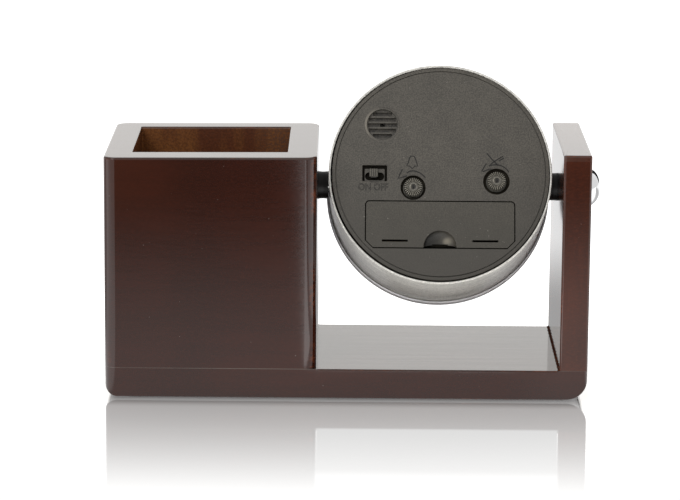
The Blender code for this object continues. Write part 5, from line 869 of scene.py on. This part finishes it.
def make_door():
    """Battery door: a plate with a bite at its lower edge, a bowl in it as a thumb scoop, two latch slots
    with their legs, and two tabs."""
    bottom = DOOR_LOW + DOOR_GAP / 2
    arc = np.linspace(0, math.pi, 33)
    bite = np.stack([SCOOP_HALF * np.cos(arc), bottom + SCOOP_HIGH * np.sin(arc)], 1)
    edge = door_outline(-DOOR_GAP / 2)
    first = int(np.argmin(np.hypot(edge[:, 0] - 27.0, edge[:, 1] - bottom)))
    rim = np.concatenate([np.roll(edge, -first, 0), bite[::-1]])
    slot_low, slot_high, leg_high = bottom + 2.3, bottom + 3.2, bottom + 3.9
    slots, solids = [], [scoop_bowl(bottom)]
    # The legs take painted shade where they show through the slots.
    for x in (-18.3, 18.3):
        slots.append(outline(rectangle((x - 5.3, slot_low), (x + 5.3, slot_high)), 0.35, 0, 4))
        solids.append(block((x - 5.3, slot_high), (x + 5.3, leg_high), 0.2, 1.4, 3.8).worn(0.8))
    # The tabs take painted shade under the panel's edge.
    for x in (-19, 19):
        solids.append(block((x - 2, DOOR_HIGH - 1.6), (x + 2, DOOR_HIGH + 0.8), 0.3, 1.4, 2.7).worn(0.5))
    finish("door_panel", [plate([rim] + slots, 0, 1.6)] + solids, DOOR, "battery_door", "cover_plastic",
           "battery_door", place=PANEL_FACE, sharp=50)


def scoop_bowl(bottom):
    """Half bowl: sections over half a turn, each a round lip and a quarter ellipse (r cos t, depth sin t)
    with an even wall behind. Its lower edge rises with the depth. Painted shade darkens it deeper in and
    toward +X, and a painted highlight lightens a spot low down on the -X side."""
    angle = np.linspace(0.06, TURN / 4, 16)
    lip = [(6.98, 0.02), (6.86, 0.03), (6.72, 0.1), (6.6, 0.24)]
    front = np.concatenate([lip, np.stack([6.54 * np.cos(angle), 0.3 + 3.0 * np.sin(angle)], 1)])
    front[-1, 0] = 0.02
    behind = front[::-1] + (0.0, 0.45)
    behind[-4:, 1] = 1.5
    radius, level = np.concatenate([front, behind]).T
    turn = np.linspace(0, math.pi, 48)[:, None]
    lift = 0.5 * level
    up = bottom + lift + radius * np.sin(turn) * (SCOOP_HIGH - lift) / SCOOP_HALF
    bowl = skin(np.stack([radius * np.cos(turn), up, level + 0 * turn], -1))
    x, y, z = bowl.points.T
    # Painted highlight low on the -X side, and painted shade in the bowl that grows toward +X.
    lit = np.exp(-((x + 2.6) / 2.2) ** 2 - ((y - bottom - 3.0) / 1.8) ** 2)
    depth = np.clip((z - 0.05) / 0.5, 0, 1)
    return bowl.worn(depth * np.clip(0.42 + x / 12 - 1.05 * lit, -0.9, 0.9))


def make_slider():
    """Slider: a small plate with round ribs, a stem, and a shutter whose dark plastic paints the shade in
    the window's slot.
    """
    x, y = WINDOW[0] + 0.4, WINDOW[1] + 0.55
    half, ribs = 1.75, 4
    # Painted shade on the plate and the stem, a faint painted highlight on the ribs.
    shells = [block((x - half, y - 1.7), (x + half, y + 1.7), 0.3, 0.5, 0.9, 0.1, 0.1).worn(0.55),
              block((x - 1.2, y - 2.0), (x + 1.2, y - 0.5), 0.2, 0.7, 4.0, 0.1, 0.1).worn(0.9)]
    for middle in x - half + 2 * half / ribs * (np.arange(ribs) + 0.5):
        shells.append(block((middle - 0.2, y - 1.5), (middle + 0.2, y + 1.6), 0.15, 0.1, 0.8,
                            0.16, 0.05).worn(-0.1))
    # The shutter's dark plastic paints the shade in the window's slot.
    shutter = block((x - 4.4, y - 3.4), (x + 5.4, y + 0.8), 0.5, 2.55, 2.85, 0.05, 0.05)
    finish("switch_button", shells, SLIDER, "switch_slider", "cover_plastic", "switch_slider",
           place=PANEL_FACE)
    finish("switch_shutter", [shutter], PAINTED_SHADE_PLASTIC, "switch_slider", "cover_plastic", place=PANEL_FACE)


def make_knobs():
    """Setting knobs: turned, with n radial ribs, the level falling by depth (1 - cos n a) / 2, a pip in a
    dimple, and a flange in the well. Painted shade darkens the hollows between the ribs, the knob's side,
    the face's middle and the pip; painted highlights lighten the rib tips and one side of the dimple."""
    high, ribs = -2.4, 26
    corners = [(0.02, high + 0.05), (0.35, high + 0.1), (0.5, high + 0.55), (1.0, high + 0.5), (1.15, high),
               (1.6, high), (2.4, high), (3.4, high), (3.7, high + 0.4),
               (3.8, 1.3), (4.1, 1.3), (4.1, 2.1), (0.02, 2.1)]
    profile = fillet(corners, [0.01, 0.1, 0.1, 0.1, 0.1, 0.05, 0.05, 0.15, 0.1, 0.05, 0.15, 0.15, 0.01])

    def ribbed(radius, level, angle):
        wave = (1 - np.cos(ribs * angle)) / 2
        at_rim = np.clip((radius - 1.9) / 0.4, 0, 1) * (level < 1.2)
        # Painted light: shade between the ribs, on the knob's side, in the face's middle and at the pip; the
        # glint and the rib tips are painted highlights.
        grooves = np.clip(wave * at_rim * 1.2 + (level > high + 0.35) * 0.6, 0, 0.97)
        glint = 0.8 * np.clip(np.cos(angle), 0, 1) ** 2 * (radius > 0.9) * (radius < 1.3)
        painted_shade_and_glint = grooves + 0.7 * (radius < 0.45) + 0.3 * (radius < 1.9) - glint - 0.35 * (1 - wave) * at_rim
        return radius - 0.3 * wave * at_rim, level + 0.4 * wave * at_rim * (level < high + 0.3), painted_shade_and_glint

    for name, (place, radius) in WELLS.items():
        shell = turned(profile, ribs * 8, ripple=ribbed).placed(moved(*place))
        finish(f"{name}_thumbwheel", [shell], KNOB, f"{name}_knob", "knob_plastic", f"{name}_knob",
               place=PANEL_FACE, sharp=28)


# Marks moulded on the cover

MARK_SHIFT = (-0.4, -0.84)
BELL = [(11.66, 8.29), (12.37, 8.29), (12.87, 7.55), (13.36, 5.65), (14.07, 4.33), (12.92, 4.12),
        (11.78, 3.1), (10.78, 4.13), (9.64, 4.14), (10.08, 5.97), (10.66, 7.57), (11.09, 8.22)]
STROKES = [
    [(13.77, 1.34), (12.92, 2.0), (11.49, 2.08), (10.06, 2.02), (8.78, 1.3), (7.63, 0.51), (6.56, -0.5)],
    [(15.84, 2.71), (16.9, 0.51), (17.39, -0.95), (15.9, -0.58), (14.05, 0.09)],
    [(-18.65, 9.55), (-20.38, 7.42), (-23.0, 4.75)],
    [(-24.92, 8.48), (-22.55, 6.98), (-20.1, 5.2)],
    [(-23.55, 6.61), (-25.37, 7.74)],
    [(-19.47, 4.53), (-21.37, 4.83), (-23.1, 4.94), (-24.91, 4.39), (-26.0, 3.47), (-27.36, 2.09)],
    [(-18.2, 5.36), (-16.38, 2.19), (-17.11, 2.1), (-19.28, 3.05), (-20.19, 3.15)],
]


def make_marks():
    """Bell, arrows and crossed hands as thin raised lines, and the switch's words as outlined letters,
    all drawn about MARK_SHIFT. Their dark colour paints the shade of the moulded marks' grooves and
    edges, and a short dark line the shade under the window's lower edge."""
    shells = [plate(strip(np.array(BELL), 0.42, True), -0.1, 0.2)]
    for stroke in STROKES:
        line = bow(stroke) if len(stroke) > 5 else np.array(stroke)
        shells.append(plate(strip(line, 0.46), -0.1, 0.2))
    # A short dark line painted as the shade under the switch window's lower edge.
    shells.append(plate(strip(np.array([(25.5, -2.5), (29.0, -2.5)]), 0.3), -0.05, 0.2))
    words = moved(27.6, -4.75) @ Matrix.Rotation(TURN / 2, 4, "Y") @ Matrix.Diagonal((0.84, 1.0, 1.0, 1.0))
    shells.append(lettering("ON OFF", 4.0, 0.0, 0.085).placed(words))
    finish("cover_marks", shells, COVER_DARK, "clock_case", "cover_plastic",
           place=PANEL_FACE @ moved(*MARK_SHIFT))


# Print and hands on the dial

def make_dial_print():
    """Numerals round the dial, and sixty minute lines outside them, each fifth one longer and broader."""
    numeral_radius, face = 30.5, 11.72
    shells = []
    for hour in range(1, 13):
        angle = TURN / 4 - TURN * hour / 12
        place = moved(numeral_radius * math.cos(angle), numeral_radius * math.sin(angle), face)
        shells.append(lettering(str(hour), 8.4, 0.08).placed(place))
    for minute in range(60):
        low, half = (37.0, 0.16) if minute % 5 else (35.6, 0.5)
        line = block((low, -half), (38.8, half), 0.1, 11.6, 11.78, 0.02, 0.03, 3)
        shells.append(line.placed(Matrix.Rotation(TURN * minute / 60, 4, "Z")))
    finish("dial_print", shells, painted("dial_ink", (26, 26, 28), 0.4), "clock_case", "black_paint")


def hand_outline(length, width):
    """Hand along +X: a tail, a waist at the hub and a taper to the tip, mirrored across its length."""
    stations = np.array([(-0.22, 0.45), (-0.21, 0.5), (-0.05, 0.38), (0.2, 0.42), (0.75, 0.5), (0.97, 0.2),
                         (1.0, 0.08)])
    upper = np.column_stack([stations[:, 0] * length, stations[:, 1] * width])
    return np.concatenate([upper * (1, -1), upper[::-1]])


def make_hands():
    """Alarm, hour, minute and second hands with round hubs."""
    minutes = 10.5
    hours = 10 + minutes / 60
    black = painted("hand_paint", (24, 24, 26), 0.28), "black_paint"
    red = painted("alarm_paint", (196, 44, 36), 0.32), "red_paint"
    plans = (("alarm", 7 / 12, 17.0, 1.4, 14.4, 2.7, red),
             ("hour", hours / 12, 21.0, 3.0, 15.1, 2.0, black),
             ("minute", minutes / 60, 31.0, 2.2, 15.8, 1.3, black),
             ("second", 30.0 / 60, 33.0, 0.8, 16.5, 0.6, black))
    for name, turns, length, width, front, bore, (look, slot) in plans:
        turn = Matrix.Rotation(TURN / 4 - TURN * turns, 4, "Z")
        bar = plate([hand_outline(length, width)], front - 0.4, front).placed(turn)
        hub = fillet(rectangle((bore, front - 0.47), (bore + 1.3, front + 0.07)), [0.02, 0.1, 0.12, 0.05])
        finish(f"{name}_pointer", [bar, turned(hub, 64, True)], look, f"{name}_indicator", slot,
               f"{name}_hand")


# Stage: floor, lamps and camera

def card(name, corners, look):
    """Flat four-cornered part of the stage."""
    mesh = bpy.data.meshes.new(name)
    mesh.from_pydata(corners, [], [(0, 1, 2, 3)])
    mesh.materials.append(look.material)
    made = linked(name, mesh)
    return made


def make_floor():
    """Pale floor that reads white and mirrors the object, less with the distance from its base; in the gap
    under the clock an even glow is painted in place of its mirror image. Soft reflections see it darken
    toward the camera, with bright bands beside the stand, and its near part lights the clock from below."""
    look = Look("floor_paint")
    x, y = look.parts(look.place())[:2]
    beyond = x.math("ABSOLUTE", x) - STAND_END
    in_front = y.math("ABSOLUTE", y) - STAND_SIDE
    away = beyond.math("MAXIMUM", beyond.math("MAXIMUM", beyond, in_front), 0)
    share = 0.62 * (1 - x.math("MINIMUM", away / 130, 1) ** 1.6)
    glow = look.light(0.7 * away.band(-2.0, 13.0) + 0.6 * y.fades(-46.0, -30.0))
    white = look.node("AddShader", {0: look.node("BsdfDiffuse", {"Color": paint(206, 205, 203)}), 1: glow})
    across = x * (1 + 0.0008 * away)
    gap = across.fades(11.2, 12.6) * across.band(-87.0, -85.6) * y.band(80.0, 84.0)
    glossy = look.node("BsdfGlossy", {"Color": (1, 1, 1, 1), "Roughness": 0.0})
    # Painted reflection: in the gap under the clock an even glow stands in for the mirror image.
    mirror = look.blend(gap, glossy, look.light(0.46 + 0.54 * away.band(100.0, 112.0)))
    mirrored = (x + 3.4) / (1 + 0.00082 * (y - STAND_SIDE)) - 3.4
    beside = mirrored.fades(-90.0, -60.0)
    between = mirrored.fades(16.2, 17.4) * mirrored.band(-76.0, -60.0) * y.band(86.0, 100.0)
    front = (0.96 - 0.84 * (y - 40 * beside).band(75.0, 490.0)) * (1 + 0.2 * beside)
    front = front + 0.8 * mirrored.band(99.0, 112.0) + 2.1 * between + 0.9 * mirrored.fades(-130.0, -112.0)
    behind = 0.5 + 0.6 * y.fades(-300.0, -130.0)
    toward = y.band(-60.0, 40.0)
    sheen = look.light(look.node("Mix", {0: toward, 2: behind, 3: front}, {"data_type": "FLOAT"}))
    near = y.band(30.0, 45.0) * y.fades(130.0, 260.0) * beyond.fades(0.0, 60.0)
    lit = look.node("AddShader", {0: white, 1: look.light(0.5 * near)})
    other = look.blend(look.ray("Is Glossy Ray"), lit, sheen)
    look.surface(look.blend(look.ray("Is Camera Ray"), other, look.blend(share, white, mirror)))
    card("floor", [(-6, -7, 0), (6, -7, 0), (6, 3, 0), (-6, 3, 0)], look)


def make_world():
    """Even light that reads white to the camera and in reflections, and plainer on the object."""
    world = bpy.data.worlds.new("studio")
    bpy.context.scene.world = world
    look = Look("studio", world)
    strength = look.ray("Is Diffuse Ray") * -0.5 + 1.0
    look.node("OutputWorld", {"Surface": look.node("Background", {"Strength": strength})})


def make_lamp(name, place, aim, size, radiance, tint=(1.0, 1.0, 1.0)):
    """Soft rectangular lamp of an even radiance, aimed at a point: power is pi times area times radiance."""
    lamp = bpy.data.lights.new(name, "AREA")
    lamp.shape = "RECTANGLE"
    lamp.size, lamp.size_y = size
    lamp.energy = math.pi * size[0] * size[1] * radiance
    lamp.color = tint
    holder = linked(name, lamp)
    away = moved(*place).translation - moved(*aim).translation
    holder.matrix_world = moved(*place) @ away.to_track_quat("Z", "Y").to_matrix().to_4x4()
    holder.visible_camera = False


def make_flag(name, place, width, height):
    """Black card, upright and facing the object, that only soft reflections see: the floor's sharp mirror
    looks through it."""
    across = np.array([place[1], -place[0], 0]) / math.hypot(*place[:2]) * width / 2
    up = np.array([0, 0, height / 2])
    corners = [tuple(np.array(place) + side * across + top * up) for side, top in
               ((-1, -1), (1, -1), (1, 1), (-1, 1))]
    look = Look(name)
    clear = look.node("BsdfTransparent", {"Color": (1, 1, 1, 1)})
    look.surface(look.blend(look.ray("Is Singular Ray"), look.light(0.01), clear))
    flag = card(name, corners, look)
    flag.visible_camera = False
    flag.visible_diffuse = False
    flag.visible_shadow = False


def make_camera():
    """Camera behind the clock: yaw, pitch and roll fitted to the stand's corners."""
    yaw, pitch, roll = -0.005, 0.213, -0.007
    view = bpy.data.cameras.new("camera")
    view.lens = 163.6
    view.clip_end = 50
    camera = linked("camera", view)
    turns = ((TURN / 2 - yaw, "Z"), (TURN / 4 - pitch, "X"), (-roll, "Z"))
    yawed, pitched, rolled = [Matrix.Rotation(angle, 4, axis) for angle, axis in turns]
    camera.matrix_world = moved(-0.00337, 1.253663, 0.325168) @ yawed @ pitched @ rolled
    bpy.context.scene.camera = camera


def dress_nodes():
    """Every CAD node that stays gets the finish of its slot."""
    slots = {part["node"]: part["material_slot"] for part in frame["record"]["subparts"]}
    for name, node in frame["nodes"].items():
        look = NODE_LOOKS.get(name) or NODE_LOOKS.get(slots.get(name))
        if look:
            node.data.materials.clear()
            node.data.materials.append(look)


dress_nodes()
make_base()
make_pen_box()
make_upright()
make_glue_line()
make_bushes()
make_dome()
make_turned_parts()
make_cover()
make_door()
make_slider()
make_knobs()
make_marks()
make_dial_print()
make_hands()
make_floor()
make_world()
make_lamp("key", (0.9, 1.4, 1.4), (0, 0, 0.06), (0.9, 0.9), 4.4)
make_lamp("back", (0, -2.2, 0.6), (0, 0, 0.08), (3.0, 0.9), 0.72, (1.0, 0.97, 0.92))
make_flag("flag_right", (-0.8, -1.2, 1.1), 0.8, 2.1)
make_camera()
bpy.context.scene.view_settings.view_transform = "Standard"
bpy.context.view_layer.update()
